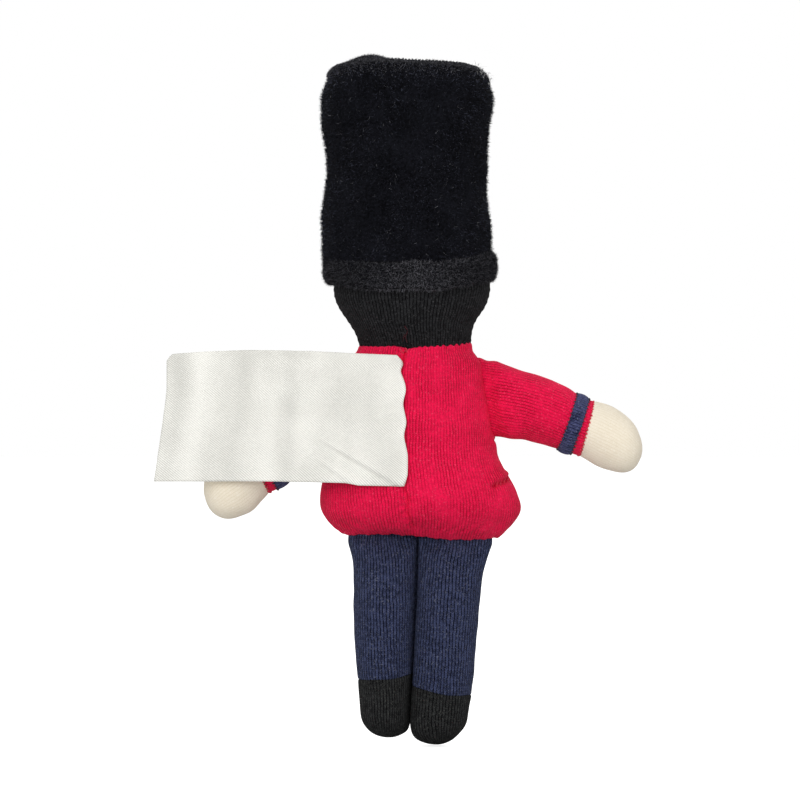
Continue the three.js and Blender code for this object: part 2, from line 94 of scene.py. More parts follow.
# %% [markdown]
# ## Short hands for nodes
# Materials are made of nodes, and a few small functions keep their making short. `calc` is one step
# of arithmetic, `scaled` multiplies and adds, `cloudy` is soft noise, `two_colours` mixes a dark and
# a light tone, and `bumped` raises a surface without more faces.

# %% Short hands for nodes


def link_or_set(tree, value, socket):
    """Links a socket to another node's output, or sets it to a constant."""
    if isinstance(value, bpy.types.NodeSocket):
        tree.links.new(value, socket)
    else:
        socket.default_value = value


def setting(tree, node, **values):
    """Links or sets inputs by their names. An underscore stands for a space."""
    for label, value in values.items():
        link_or_set(tree, value, node.inputs[label.replace("_", " ")])
    return node


def new_node(tree, kind, **values):
    return setting(tree, tree.nodes.new("ShaderNode" + kind), **values)


def calc(tree, operation, *values):
    node = new_node(tree, "Math")
    node.operation = operation
    for socket, value in zip(node.inputs, values):
        link_or_set(tree, value, socket)
    return node.outputs[0]


def scaled(tree, value, factor, more):
    """value times factor, plus more."""
    return calc(tree, "MULTIPLY_ADD", value, factor, more)


def cloudy(tree, place, scale, detail=2.0, size=3):
    """Soft noise from 0 to 1, in two or three dimensions."""
    node = new_node(tree, "TexNoise")
    node.noise_dimensions = f"{size}D"
    return setting(tree, node, Vector=place, Scale=scale, Detail=detail).outputs["Fac"]


def uneven(tree, place, scale, detail=2.0, size=3):
    """The same noise about 0."""
    return calc(tree, "SUBTRACT", cloudy(tree, place, scale, detail, size), 0.5)


def soft_step(tree, value, start, end, low=0.0, high=1.0):
    node = new_node(tree, "MapRange")
    node.interpolation_type = "SMOOTHSTEP"
    return setting(tree, node, Value=value, From_Min=start, From_Max=end, To_Min=low, To_Max=high).outputs[0]


def two_colours(tree, factor, dark, light):
    """A mix of two colours. Each is three numbers or another node's output."""
    mix = new_node(tree, "Mix")
    mix.data_type = "RGBA"
    dark, light = (c if isinstance(c, bpy.types.NodeSocket) else (*c, 1) for c in (dark, light))
    return setting(tree, mix, Factor=factor, A=dark, B=light).outputs["Result"]


def bumped(tree, height, distance, strength=1.0):
    """The normal of a surface whose height varies by the distance, in metres."""
    return new_node(tree, "Bump", Height=height, Distance=distance, Strength=strength).outputs[0]


def object_place(tree):
    return new_node(tree, "TexCoord").outputs["Object"]


def stitch_place(tree):
    """The piece's UV map, which counts stitches."""
    uv = new_node(tree, "UVMap")
    uv.uv_map = "stitches"
    return uv.outputs[0]


def own_tone(tree):
    """The tone that each fibre or thread carries."""
    own = new_node(tree, "Attribute")
    own.attribute_name = "tone"
    return own.outputs["Fac"]


def by_ray(tree, seen, lighting, output):
    """The camera sees one shader, and all other light meets the second."""
    mix = new_node(tree, "MixShader")
    ray = new_node(tree, "LightPath").outputs["Is Camera Ray"]
    for value, socket in zip((ray, lighting.outputs[0], seen.outputs[0]), mix.inputs):
        tree.links.new(value, socket)
    tree.links.new(mix.outputs[0], output.inputs["Surface"])


def new_material(name):
    """A new material, its node tree and its main shader."""
    material = bpy.data.materials.new(name)
    material.use_nodes = True
    return material, material.node_tree, material.node_tree.nodes["Principled BSDF"]


print("short hands ready")

# %% [markdown]
# ## Camera, floor and light
# The picture is a product shot on white, taken level and from far away, so the camera stands 0.8 m
# behind the doll with a long lens. The picture is 180.5 mm wide at the doll. The floor and the sky
# are white, and large soft lights stand above and beside the camera.

# %% Camera
VIEW_WIDTH, VIEW_DISTANCE = 180.5, 800
AIM_X, AIM_Z, SENSOR = 3.2, 76.9, 36
aim = at(AIM_X, 0, AIM_Z)
bpy.ops.object.camera_add(location=at(AIM_X, VIEW_DISTANCE, AIM_Z), rotation=(math.pi / 2, 0, math.pi))
camera = bpy.context.object
camera.data.sensor_width, camera.data.lens = SENSOR, SENSOR * VIEW_DISTANCE / VIEW_WIDTH
camera.data.clip_start, camera.data.clip_end = 0.01, 20
bpy.context.scene.camera = camera
print(f"lens {camera.data.lens:.0f} mm")

# %% Floor and sky
FLOOR_LEVEL = -1.2 * MM
bpy.ops.mesh.primitive_circle_add(vertices=64, radius=4, fill_type="NGON", location=(0, 0, FLOOR_LEVEL))
floor = bpy.context.object
floor.name = "floor"
floor_paper, tree, paper = new_material("floor_paper")
setting(tree, paper, Base_Color=(0.9, 0.9, 0.9, 1), Roughness=0.9, Emission_Color=(1, 1, 1, 1),
        Emission_Strength=0.68)
dull = new_node(tree, "BsdfDiffuse", Color=(0.62, 0.62, 0.62, 1))
by_ray(tree, paper, dull, tree.nodes["Material Output"])
floor.data.materials.append(floor_paper)

sky = bpy.data.worlds.new("white_sky")
bpy.context.scene.world = sky
sky.use_nodes = True
tree = sky.node_tree
sky_bright = new_node(tree, "Background", Color=(1, 1, 1, 1), Strength=1.0)
sky_soft = setting(tree, tree.nodes["Background"], Color=(1, 1, 1, 1), Strength=0.63)
by_ray(tree, sky_bright, sky_soft, tree.nodes["World Output"])
bpy.context.scene.view_settings.view_transform = "Standard"
print("floor and sky are white")

# %% Lamps


def soft_lamp(name, place, size, power):
    bpy.ops.object.light_add(type="AREA", location=place)
    lamp = bpy.context.object
    lamp.name, lamp.data.size, lamp.data.energy = name, size, power
    lamp.rotation_euler = (aim - Vector(place)).to_track_quat("-Z", "Y").to_euler()


soft_lamp("key_lamp", (0.30, 0.95, 0.52), 0.5, 3.0)
soft_lamp("side_lamp", (-0.6, 0.6, 0.35), 0.6, 1.55)
soft_lamp("low_lamp", (0.35, 0.6, 0.10), 0.3, 0.82)
soft_lamp("front_lamp", (0.1, -0.8, 0.8), 0.6, 2.6)

# %% [markdown]
# ## The stitch pattern
# Jersey is made of V-shaped stitches. A column of them is called a wale and a row is called a course.
# Modelled one by one they would need millions of faces, so one node group draws a stitch and every
# knitted material uses it with its own colours. It reads the piece's UV map, where 1 is one wale
# across and one course up, so the columns follow each tube as real ones do.

# %% Stitch group
stitch = bpy.data.node_groups.new("knit_stitch", "ShaderNodeTree")
stitch.interface.new_socket("Stitches", in_out="INPUT", socket_type="NodeSocketVector")
for label in ("Height", "Gap", "Yarn"):
    stitch.interface.new_socket(label, in_out="OUTPUT", socket_type="NodeSocketFloat")
counted = stitch.nodes.new("NodeGroupInput").outputs["Stitches"]
across, upward, _ = new_node(stitch, "SeparateXYZ", Vector=counted).outputs
wale_place = scaled(stitch, uneven(stitch, counted, 0.16, 2.0, 2), 0.7, across)
wale = calc(stitch, "FLOOR", wale_place)
aside = calc(stitch, "ABSOLUTE", calc(stitch, "SUBTRACT", calc(stitch, "FRACT", wale_place), 0.5))
course_place = scaled(stitch, aside, -1.7, upward)
course = calc(stitch, "FLOOR", course_place)
along = calc(stitch, "FRACT", course_place)
column = soft_step(stitch, aside, 0.25, 0.49, 1.0, 0.0)
between_legs = soft_step(stitch, aside, 0.0, 0.14, 0.72, 1.0)
pinch = calc(stitch, "ABSOLUTE", scaled(stitch, along, 2.0, -1.0))
pinch = scaled(stitch, calc(stitch, "POWER", pinch, 2.0), -0.62, 1.0)
raised = calc(stitch, "MULTIPLY", calc(stitch, "MULTIPLY", column, between_legs), pinch)
loop_number = new_node(stitch, "CombineXYZ", X=wale, Y=course).outputs[0]
chance = new_node(stitch, "TexWhiteNoise")
chance.noise_dimensions = "2D"
chance = setting(stitch, chance, Vector=loop_number).outputs["Value"]
# Gap is 1 in the hollows between stitches, where the knitted materials paint shade.
setting(stitch, stitch.nodes.new("NodeGroupOutput"), Height=raised, Gap=soft_step(stitch, raised, 0.80, 0.10),
        Yarn=chance)
print("stitch group:", len(stitch.nodes), "nodes")

# %% [markdown]
# ## Knitted materials
# Each yarn gets one material: a light and a dark tone of its colour, the stitch group for the columns, soft
# mottling where the dye and the pile differ, and sheen for the down of fine fibres that covers brushed yarn.
# The dark tone is used mostly as painted shade in the gaps between the stitches, stronger in some places than
# in others, and pale specks are painted highlights where stray fuzz catches the light. The bump lifts each
# stitch by at most a third of a millimetre. The dark yarns get almost no gloss, because even a weak
# reflection would turn them grey.

# %% Knitted material


def knitted(name, light, dark, fuzz_highlight, bump, sheen, mottle=0.16, yarn=0.28, tint=(1, 1, 1), fuzz_highlight_share=0.6,
            gloss=0.15, gap_shade_spread=1.9, depth=0.7):
    """mottle and yarn make the colour uneven. The share of fuzz highlights sets how many pale specks of
    painted highlight lie on stray fuzz, and the spread of gap shade and depth set how unevenly and how dark
    the painted shade in the gaps between stitches is.
    """
    material, tree, shader = new_material(name)
    place = object_place(tree)
    knit = new_node(tree, "Group")
    knit.node_tree = stitch
    setting(tree, knit, Stitches=stitch_place(tree))
    # Painted shade: the gaps between the stitches are darkened in colour, more in some places than in others.
    gap_shade = scaled(tree, cloudy(tree, place, 170, 2.0), -gap_shade_spread, gap_shade_spread / 2 - depth)
    tone = scaled(tree, knit.outputs["Gap"], gap_shade, 0.86)
    tone = scaled(tree, calc(tree, "SUBTRACT", knit.outputs["Yarn"], 0.5), yarn, tone)
    tone = scaled(tree, uneven(tree, place, 90, 3.0), mottle * 2.4, tone)
    fluff = uneven(tree, place, 2600, 3.0)
    tone = scaled(tree, fluff, 0.9, tone)
    # Painted highlight: pale specks where stray fuzz catches the light.
    fuzz_highlight_spots = soft_step(tree, cloudy(tree, place, 3000, 1.0), 0.60, 0.74, 0.0, fuzz_highlight_share)
    height = scaled(tree, fluff, 0.6, knit.outputs["Height"])
    setting(tree, shader, Base_Color=two_colours(tree, fuzz_highlight_spots, two_colours(tree, tone, dark, light), fuzz_highlight),
            Roughness=scaled(tree, fluff, 0.25, 0.82), Specular_IOR_Level=gloss,
            Sheen_Weight=sheen, Sheen_Roughness=0.45, Sheen_Tint=(*tint, 1),
            Normal=bumped(tree, height, bump, 0.8))
    return material


red_yarn = knitted("red_yarn", (0.97, 0.008, 0.080), (0.43, 0.001, 0.021), (1.0, 0.12, 0.22),
                   bump=0.00018, sheen=0.09, tint=(1, 0.3, 0.4), fuzz_highlight_share=0.38, gloss=0.1, gap_shade_spread=2.5, depth=0.6)
dark_yarn = {"bump": 0.00028, "yarn": 0.6, "gloss": 0.04, "gap_shade_spread": 0.7, "depth": 0.95}
navy_yarn = knitted("navy_yarn", (0.055, 0.068, 0.142), (0.002, 0.003, 0.009), (0.17, 0.18, 0.24),
                    sheen=0.04, mottle=0.10, tint=(0.6, 0.7, 1), **dark_yarn)
cuff_yarn = knitted("cuff_yarn", (0.070, 0.078, 0.185), (0.006, 0.008, 0.03), (0.22, 0.24, 0.36),
                    bump=0.0003, sheen=0.08, yarn=0.9, mottle=0.35, tint=(0.6, 0.7, 1), gloss=0.08)
black_yarn = knitted("black_yarn", (0.0260, 0.0264, 0.0285), (0.0006, 0.0006, 0.0008), (0.075, 0.075, 0.078),
                     sheen=0.01, mottle=0.09, **dark_yarn)
boot_yarn = knitted("boot_yarn", (0.0335, 0.0345, 0.0350), (0.0008, 0.0008, 0.0012), (0.085, 0.088, 0.08),
                    sheen=0.01, mottle=0.09, **dark_yarn)
cream_yarn = knitted("cream_yarn", (0.89, 0.81, 0.67), (0.80, 0.71, 0.55), (0.96, 0.90, 0.79),
                     bump=0.00005, sheen=0.12, mottle=0.10)
print("knitted materials ready")

# %% [markdown]
# ## A sewn tube
# Body, limbs, head and hat are all the same thing in the real doll: a tube of cloth, closed at its
# ends and stuffed. A tube is written as a few ribs. Each rib gives a place along the tube, the two
# side points of the cloth as they are seen from behind, and how far the cloth stands out to the back
# and to the front. `eased` runs a smooth line through the ribs, and `tube` makes even rings of
# points, closes the ends, and gives the cloth a UV map that counts stitches.

# %% Smooth lines through ribs


def eased(ribs, places):
    ribs = np.array(ribs, float)
    x, y = ribs[:, 0], ribs[:, 1:]
    step = np.diff(x)[:, None]
    slope = np.diff(y, axis=0) / step
    tangent = np.zeros_like(y)
    product = slope[:-1] * slope[1:]
    total = np.where(product > 0, slope[:-1] + slope[1:], 1)
    tangent[1:-1] = np.where(product > 0, 2 * product / total, 0)
    tangent[0], tangent[-1] = slope[0], slope[-1]
    i = np.clip(np.searchsorted(x, places, side="right") - 1, 0, len(x) - 2)
    t = ((np.asarray(places) - x[i]) / step[i, 0])[:, None]
    h = step[i]
    return ((1 + 2 * t) * (1 - t) ** 2 * y[i] + t * (1 - t) ** 2 * h * tangent[i]
            + t * t * (3 - 2 * t) * y[i + 1] + t * t * (t - 1) * h * tangent[i + 1])


def upright(rows):
    """Ribs of a tube that stands: rows of height, left side, right side, back and, if it differs, front."""
    return [(z, left, z, right, z, back, *(front or [back])) for z, left, right, back, *front in rows]


# %% Rings round a tube


def ring(rib, inset, sides, start=0.0, power=2.0, out=0.0):
    """Evenly spaced points round one rib, in millimetres, from the angle where the seam is."""
    x1, z1, x2, z2, back, front = rib
    one, other = np.array([x1, 0, z1]), np.array([x2, 0, z2])
    middle, across = (one + other) / 2, (one - other) / 2
    half = np.linalg.norm(across)
    across = across / half
    half = max(half - inset, 0.2) + out
    back, front = max(back - inset, 0.2) + out, max(front - inset, 0.2) + out
    turn = np.linspace(0, 2 * np.pi, 721) + start
    sine, cosine = np.sin(turn), np.cos(turn)
    a = -half * np.sign(sine) * np.abs(sine) ** (2 / power)
    b = np.where(cosine > 0, back, front) * np.sign(cosine) * np.abs(cosine) ** (2 / power)
    run = np.concatenate([[0], np.cumsum(np.hypot(np.diff(a), np.diff(b)))])
    even = np.linspace(0, run[-1], sides + 1)[:-1]
    a, b = np.interp(even, run, a), np.interp(even, run, b)
    return middle + a[:, None] * across + b[:, None] * np.array([0, 1, 0]), run[-1]


def tube_rows(ribs, rounding, pitch):
    """Places along the tube with their insets, closer together where the ends round off."""
    start, end = ribs[0][0], ribs[-1][0]
    low_round, high_round = rounding
    steps_low, steps_high = max(3, int(low_round * 1.6 / pitch)), max(3, int(high_round * 1.6 / pitch))
    turn = np.linspace(0, np.pi / 2, steps_low + 1)
    rows = [(start + low_round * (1 - math.cos(t)), low_round * (1 - math.sin(t))) for t in turn]
    count = max(2, round((end - high_round - start - low_round) / pitch))
    rows += [(s, 0.0) for s in np.linspace(start + low_round, end - high_round, count + 1)[1:-1]]
    turn = np.linspace(np.pi / 2, 0, steps_high + 1)
    rows += [(end - high_round * (1 - math.cos(t)), high_round * (1 - math.sin(t))) for t in turn]
    return rows


# %% Short hands for meshes


def alone(piece):
    """Makes the piece active, and the only one that is selected."""
    bpy.ops.object.select_all(action="DESELECT")
    bpy.context.view_layer.objects.active = piece
    piece.select_set(True)


def mesh_piece(name, points, faces, uvs=None):
    """A new object from points in the doll's own millimetres."""
    mesh = bpy.data.meshes.new(name)
    mesh.from_pydata((np.asarray(points) + MIDDLE) * MM, [], faces)
    if uvs is not None:
        layer = mesh.uv_layers.new(name="stitches")
        layer.data.foreach_set("uv", np.asarray(uvs, np.float32).ravel())
    mesh.polygons.foreach_set("use_smooth", [True] * len(mesh.polygons))
    piece = bpy.data.objects.new(name, mesh)
    bpy.context.collection.objects.link(piece)
    alone(piece)
    return piece


def edited(piece, operator, **values):
    """Runs one operator of edit mode on the whole mesh of a piece."""
    alone(piece)
    bpy.ops.object.mode_set(mode="EDIT")
    bpy.ops.mesh.select_all(action="SELECT")
    operator(**values)
    bpy.ops.object.mode_set(mode="OBJECT")
    return piece


def faces_out(piece):
    return edited(piece, bpy.ops.mesh.normals_make_consistent, inside=False)


def points_of(mesh):
    """The points of a mesh and their normals, in the doll's own millimetres."""
    points, normals = np.empty(len(mesh.vertices) * 3), np.empty(len(mesh.vertices) * 3)
    mesh.vertices.foreach_get("co", points)
    mesh.vertices.foreach_get("normal", normals)
    return points.reshape(-1, 3) / MM - MIDDLE, normals.reshape(-1, 3)


def copy_of(piece):
    twin = piece.copy()
    twin.data = piece.data.copy()
    bpy.context.collection.objects.link(twin)
    return twin


def discard(piece):
    spare = piece.data
    bpy.data.objects.remove(piece)
    bpy.data.meshes.remove(spare)


def give_tone(piece, tone):
    """Keeps a tone for each point, which the material of fibres and threads reads."""
    layer = piece.data.attributes.new("tone", "FLOAT", "POINT")
    layer.data.foreach_set("value", np.asarray(tone, np.float32))


# %% Tube


def tube(name, ribs, sides, pitch, rounding, wales=60, course=0.5, start=0.0, power=2.0, panels=False):
    rows = tube_rows(ribs, rounding, pitch)
    lines = eased(ribs, [s for s, _ in rows])
    made = [ring(line, inset, sides, start, power) for line, (_, inset) in zip(lines, rows)]
    rings = [r for r, _ in made]
    girth = np.array([g for _, g in made])
    girth = np.concatenate([girth[:1]] * 3 + [girth] + [girth[-1:]] * 3)
    spread = (girth / np.median(girth)) ** 0.6 if panels else np.ones(len(girth))

    def across(i, j):
        """How many wales lie between the seam and column j. Two panels count from back and front."""
        if not panels:
            return wales * j / sides
        share = j / sides if j <= sides // 4 or j >= 3 * sides // 4 else j / sides - 0.5
        share = share - 1 if j >= 3 * sides // 4 else share
        return wales * share * spread[i]

    low_cap = [rings[0].mean(0) + (rings[0] - rings[0].mean(0)) * f for f in (0.3, 0.6, 0.85)]
    high_cap = [rings[-1].mean(0) + (rings[-1] - rings[-1].mean(0)) * f for f in (0.85, 0.6, 0.3)]
    rings = np.array(low_cap + rings + high_cap)
    count = len(rings)
    points = np.concatenate([rings.reshape(-1, 3), [rings[0].mean(0)], [rings[-1].mean(0)]])
    run = np.linalg.norm(np.diff(rings, axis=0), axis=2).mean(1)
    run = np.concatenate([[0], np.cumsum(run)]) / course
    faces, uvs = [], []
    for i in range(count - 1):
        for j in range(sides):
            k = (j + 1) % sides
            faces.append((i * sides + j, i * sides + k, (i + 1) * sides + k, (i + 1) * sides + j))
            one = wales / sides
            low_u, high_u = across(i, j), across(i + 1, j)
            uvs += [(low_u, run[i]), (low_u + one * spread[i], run[i]),
                    (high_u + one * spread[i + 1], run[i + 1]), (high_u, run[i + 1])]
    for j in range(sides):
        k = (j + 1) % sides
        u, v = wales * j / sides, wales * (j + 1) / sides
        faces.append((count * sides, k, j))
        uvs += [(u, run[0] - 1), (v, run[0]), (u, run[0])]
        faces.append((count * sides + 1, (count - 1) * sides + j, (count - 1) * sides + k))
        uvs += [(u, run[-1] + 1), (u, run[-1]), (v, run[-1])]
    return faces_out(mesh_piece(name, points, faces, uvs))


# %% [markdown]
# ## Filling the cloth
# Real covers take their form from the stuffing that presses on them and from the seams that hold
# them. Blender's cloth does the same: the seams are pinned, and air pressure fills the piece. The
# solver likes things about a metre large, so a copy ten times the size is simulated and its
# movement is brought back. No point may move further than the cap, which keeps the sizes right.

# %% Cloth simulation
CLOTH_FRAMES, CLOTH_SCALE = 20, 10


def fill_cloth(piece, sewn, cap=0.5):
    """sewn(x, y, z) says which points, in millimetres, a seam holds."""
    count = len(piece.data.vertices)
    before = np.empty(count * 3)
    piece.data.vertices.foreach_get("co", before)
    before = before.reshape(-1, 3)
    pins = np.nonzero(sewn(*(before / MM - MIDDLE).T))[0]
    large = copy_of(piece)
    large.data.vertices.foreach_set("co", (before * CLOTH_SCALE).ravel())
    large.vertex_groups.new(name="seams").add([int(i) for i in pins], 1.0, "REPLACE")
    cloth = large.modifiers.new("filling", "CLOTH")
    for key, value in (("vertex_group_mass", "seams"), ("quality", 6), ("mass", 0.3),
                       ("tension_stiffness", 12), ("compression_stiffness", 7.2), ("shear_stiffness", 4.8),
                       ("bending_stiffness", 0.08), ("use_pressure", True), ("uniform_pressure_force", 60)):
        setattr(cloth.settings, key, value)
    cloth.settings.effector_weights.gravity = 0
    cloth.point_cache.frame_start, cloth.point_cache.frame_end = 1, CLOTH_FRAMES
    for moment in range(1, CLOTH_FRAMES + 1):
        bpy.context.scene.frame_set(moment)
    filled = large.evaluated_get(bpy.context.evaluated_depsgraph_get())
    after = np.empty(count * 3)
    filled.data.vertices.foreach_get("co", after)
    move = after.reshape(-1, 3) / CLOTH_SCALE - before
    length = np.linalg.norm(move, axis=1)
    move *= (np.minimum(length, cap * MM) / np.maximum(length, 1e-9))[:, None]
    piece.data.vertices.foreach_set("co", (before + move).ravel())
    piece.data.update()
    discard(large)
    bpy.context.scene.frame_set(1)
    print(f"{piece.name}: filled, moved {length.mean() / MM:.2f} mm on average")


# %% Modifiers and moves


def finish_with(piece, kind, **settings):
    """Adds a modifier and applies it."""
    alone(piece)
    modifier = piece.modifiers.new("step", kind)
    for key, value in settings.items():
        setattr(modifier, key, value)
    bpy.ops.object.modifier_apply(modifier="step")
    return piece


def smoother(piece, levels=1):
    return finish_with(piece, "SUBSURF", levels=levels, render_levels=levels)


def sculpt(piece, move):
    """Moves every point: move gets points and normals in the doll's millimetres."""
    moved = move(*points_of(piece.data))
    piece.data.vertices.foreach_set("co", ((moved + MIDDLE) * MM).ravel())
    piece.data.update()
    return piece


def lumps(points, size, seed):
    """Smooth noise from -1 to 1 over points in millimetres."""
    return np.array([noise.noise(Vector(p) / size + Vector((seed, seed * 2.3, 7.1))) for p in points])


def near(value, width):
    """1 at nothing, falling smoothly to 0 at about the width."""
    return np.exp(-(value / width) ** 2)


# %% [markdown]
# ## The tunic
# The red body is one knitted bag, narrow at the neck and widest just over the hem. It leans a little,
# so its ribs aren't centred. A seam runs down the middle of the back, where it pulls the cloth in
# to a valley. The sleeves are sewn flat to the sides, and a small tuck is stitched at the right waist.

# %% Tunic
tunic_ribs = upright([
    (45.8, 15.9, -19.1, 4.8), (47.4, 17.6, -20.7, 7.2), (48.7, 18.8, -22.0, 8.9, 9.0),
    (50.1, 19.9, -23.2, 10.9, 11.0), (51.4, 20.8, -24.0, 12.2, 12.4), (52.8, 21.2, -24.3, 13.0, 13.2),
    (55.5, 21.1, -23.5, 13.4, 13.6), (59.6, 20.6, -21.8, 13.1, 13.4), (62.3, 20.1, -20.4, 12.8, 13.2),
    (65.0, 19.4, -19.3, 12.5, 12.9), (68.4, 18.7, -18.7, 12.2, 12.7), (72.4, 18.0, -18.0, 11.9, 12.4),
    (76.9, 17.2, -17.2, 11.6, 12.0), (81.4, 16.4, -16.4, 11.1, 11.5), (84.8, 15.8, -15.9, 10.7, 11.0),
    (86.2, 15.2, -15.5, 10.4, 10.6), (86.9, 13.6, -14.0, 10.1, 10.3), (87.7, 12.85, -13.05, 9.8, 9.9),
    (89.4, 12.5, -13.0, 9.6, 9.7),
])


def seam_x(z):
    return np.interp(z, (46.2, 48.5, 52.1, 55.5, 57.1, 60, 84, 86, 89.4),
                     (0.2, 0.2, 1.6, 1.35, 2.4, 2.0, 2.8, 2.6, 1.6))


def arm_seam(x, y, z):
    """How far a point is from the line where a sleeve is sewn to the side."""
    line = 17.0 + (76.9 - z) * 0.176
    return np.hypot(np.abs(x) - line, y) + np.maximum(0, z - 86) * 2 + np.maximum(0, 68.4 - z) * 2


tunic = tube("tunic_cover", tunic_ribs, 112, 0.95, (0.6, 0.8), wales=138, start=-0.094, panels=True)
fill_cloth(tunic, lambda x, y, z: (z > 87.0) | (z < 47.2) | (arm_seam(x, y, z) < 1.5)
           | ((np.abs(x - seam_x(z)) < 0.6) & (y > 0)), cap=0.7)
smoother(tunic, 2)
TUCK_X, TUCK_Z, TUCK_RUN, TUCK_RISE = -18.1, 57.8, -4.1, 1.8


def shape_tunic(p, n):
    """Draws in the back seam, the arm seams and the tuck, ruffles hem and neck, and adds lumps."""
    x, y, z = p.T
    back = y > 0
    off_seam = x - seam_x(z)
    deep = (0.7 * np.clip((61 - z) / 6, 0, 1) * np.clip((z - 45) / 7, 0.3, 1)
            + np.clip((z - 83) / 3, 0, 1) * 0.8 + 0.25)
    push = -(0.75 * near(off_seam, 0.32) + 0.5 * near(off_seam + 0.5, 1.9)) * deep * back
    push += 0.22 * near(off_seam - 1.0, 0.6) * deep * back * (1 + np.sin(z * 4.2 + 1))
    from_arm = arm_seam(x, y, z)
    push += (0.45 * lumps(p, 12, 1) + 0.20 * lumps(p, 4.2, 2)) * (1 - near(from_arm, 5))
    push -= 0.6 * near(from_arm - 1.5, 1.8)
    along = np.clip(((x - TUCK_X) * TUCK_RUN + (z - TUCK_Z) * TUCK_RISE)
                    / (TUCK_RUN ** 2 + TUCK_RISE ** 2), 0, 1)
    above = z - TUCK_Z - TUCK_RISE * along
    off_tuck = np.hypot(x - TUCK_X - TUCK_RUN * along, above)
    push += back * (-1.1 * near(off_tuck, 0.5) + 0.4 * near(off_tuck - 1.2, 0.8) * (above > 0))
    turn = np.arctan2(y, x)
    ruffle = np.sin(turn * 34 + 3 * lumps(p, 6, 3))
    push += 0.12 * ruffle * near(z - 48, 2.6) + 0.03 * np.sin(turn * 60) * near(z - 88, 1.2)
    hem_fade = np.clip((z - 46.0) / 2, 0, 1)
    moved = p + n * (push * hem_fade)[:, None]
    hollow = (z < 45.9) & (np.hypot((x + 1.6) / 17.4, y / 4.0) < 0.97)
    moved[:, 2] += np.where(hollow, 2.0, 0)
    drawn_up = np.interp(x, (-20, -13, -7, -1, 5, 12, 20), (0.0, -0.35, -0.25, 0.5, 0.95, 0.8, 0.3))
    moved[:, 2] += near(z - 45.6, 2.6) * (drawn_up + 0.10 * np.sin(x * 1.7) + 0.06 * np.sin(x * 4.1))
    collar = np.interp(x, (-13, -3, 2, 6, 13), (0.7, 0.3, -0.5, -0.3, -0.1))
    moved[:, 2] += near(z - 89.4, 0.9) * np.where(back, collar, 0)
    return moved


sculpt(tunic, shape_tunic)
tunic.data.materials.append(red_yarn)
print("tunic:", len(tunic.data.polygons), "faces")

# %% [markdown]
# ## The legs
# Each leg is a straight tube, navy for the trousers and black for the boot, closed round at the sole.
# Its top is pressed flat and sewn into the bottom seam of the body, so it folds there. The two legs
# press against each other, and `side_by_side` curves both touching sides the same way, so that they
# stay clear of each other and no light shows between them.

# %% Legs
left_trouser_ribs = upright([
    (13.3, 12.75, 0.12, 6.2), (15.6, 13.0, 0.12, 6.3), (21.0, 13.4, 0.12, 6.5),
    (26.4, 13.7, 0.12, 6.6), (31.8, 13.8, 0.12, 6.6), (37.2, 13.8, 0.12, 6.2),
    (40.8, 14.0, 0.12, 5.4), (43.5, 14.5, 0.12, 4.4), (45.2, 15.0, 0.12, 3.6), (47.2, 14.8, 0.12, 3.0),
])
left_boot_ribs = upright([
    (0.75, 12.0, 0.3, 6.0), (4.7, 12.15, 0.2, 6.1), (8.3, 12.3, 0.15, 6.15),
    (13.3, 12.75, 0.12, 6.2),
])
right_trouser_ribs = upright([
    (11.3, -0.12, -12.9, 6.2), (15.6, -0.12, -13.4, 6.3), (21.0, -0.12, -13.9, 6.5),
    (26.4, -0.12, -14.4, 6.6), (31.8, -0.12, -14.9, 6.6), (37.2, -0.12, -15.5, 6.2),
    (40.8, -0.12, -16.3, 5.4), (43.5, -0.12, -17.1, 4.4), (45.2, -0.12, -17.7, 3.6),
    (47.2, -0.12, -17.6, 3.0),
])
right_boot_ribs = upright([
    (-0.75, -0.2, -12.1, 6.0), (4.7, -0.12, -12.1, 6.1), (8.3, -0.12, -12.45, 6.15),
    (11.3, -0.12, -12.9, 6.2),
])


def side_by_side(seed, middle_x):
    """The slit between the legs leans, and the line between boot and trousers runs askew."""
    if middle_x > 0:
        join, askew = 13.3, ((0, 1.7, 4, 6.8, 9.8, 12.9), (2.0, 1.7, 1.25, 1.0, 0.85, 0.65))
    else:
        join, askew = 11.3, ((-12.8, -7.5, -4.7, 0), (-0.9, -0.55, 0.0, 1.4))

    def move(p, n):
        x, y, z = p.T
        inner = np.clip(1 - np.abs(x) / 5, 0, 1)
        outer = np.clip(np.abs(x) / 4 - 0.2, 0, 1)
        push = (0.32 * lumps(p, 9, seed) + 0.12 * lumps(p, 3.6, seed + 1)) * outer
        turn = np.arctan2(y, x - middle_x)
        top = near(z - 44.5, 3.2)
        push += 0.16 * np.sin(turn * 15 + seed) * top * outer
        push *= np.clip((z + 0.8) / 1.2, 0, 1) * np.clip((45.6 - z) / 1.5, 0, 1)
        moved = p + n * push[:, None]
        flat = (0.2 + 0.6 * near(z - 47, 5) + 0.5 * near(z - 14, 4)) * np.exp(-(x / 1.3) ** 2)
        moved[:, 0] -= np.sign(middle_x) * np.maximum(np.abs(x) - 0.12, 0) * flat
        slit = np.interp(z, (2, 4.3, 8.8, 12.2, 15.8, 22.6, 31.8, 45.3),
                         (0.9, 0.9, 0.55, 0.2, 0.05, -0.2, -0.75, -1.15))
        moved[:, 0] += (0.5 * np.tanh(y / 1.2) + slit) * inner
        moved[:, 2] += np.interp(x, *askew) * near(z - join, 5)
        moved[:, 2] -= (1.3 if middle_x > 0 else 0.7) * near(x, 2.6) * near(z - 3.5, 3.0)
        if middle_x < 0:
            moved[:, 2] -= 0.2 * (x + 6) * near(z, 4)
        return moved
    return move


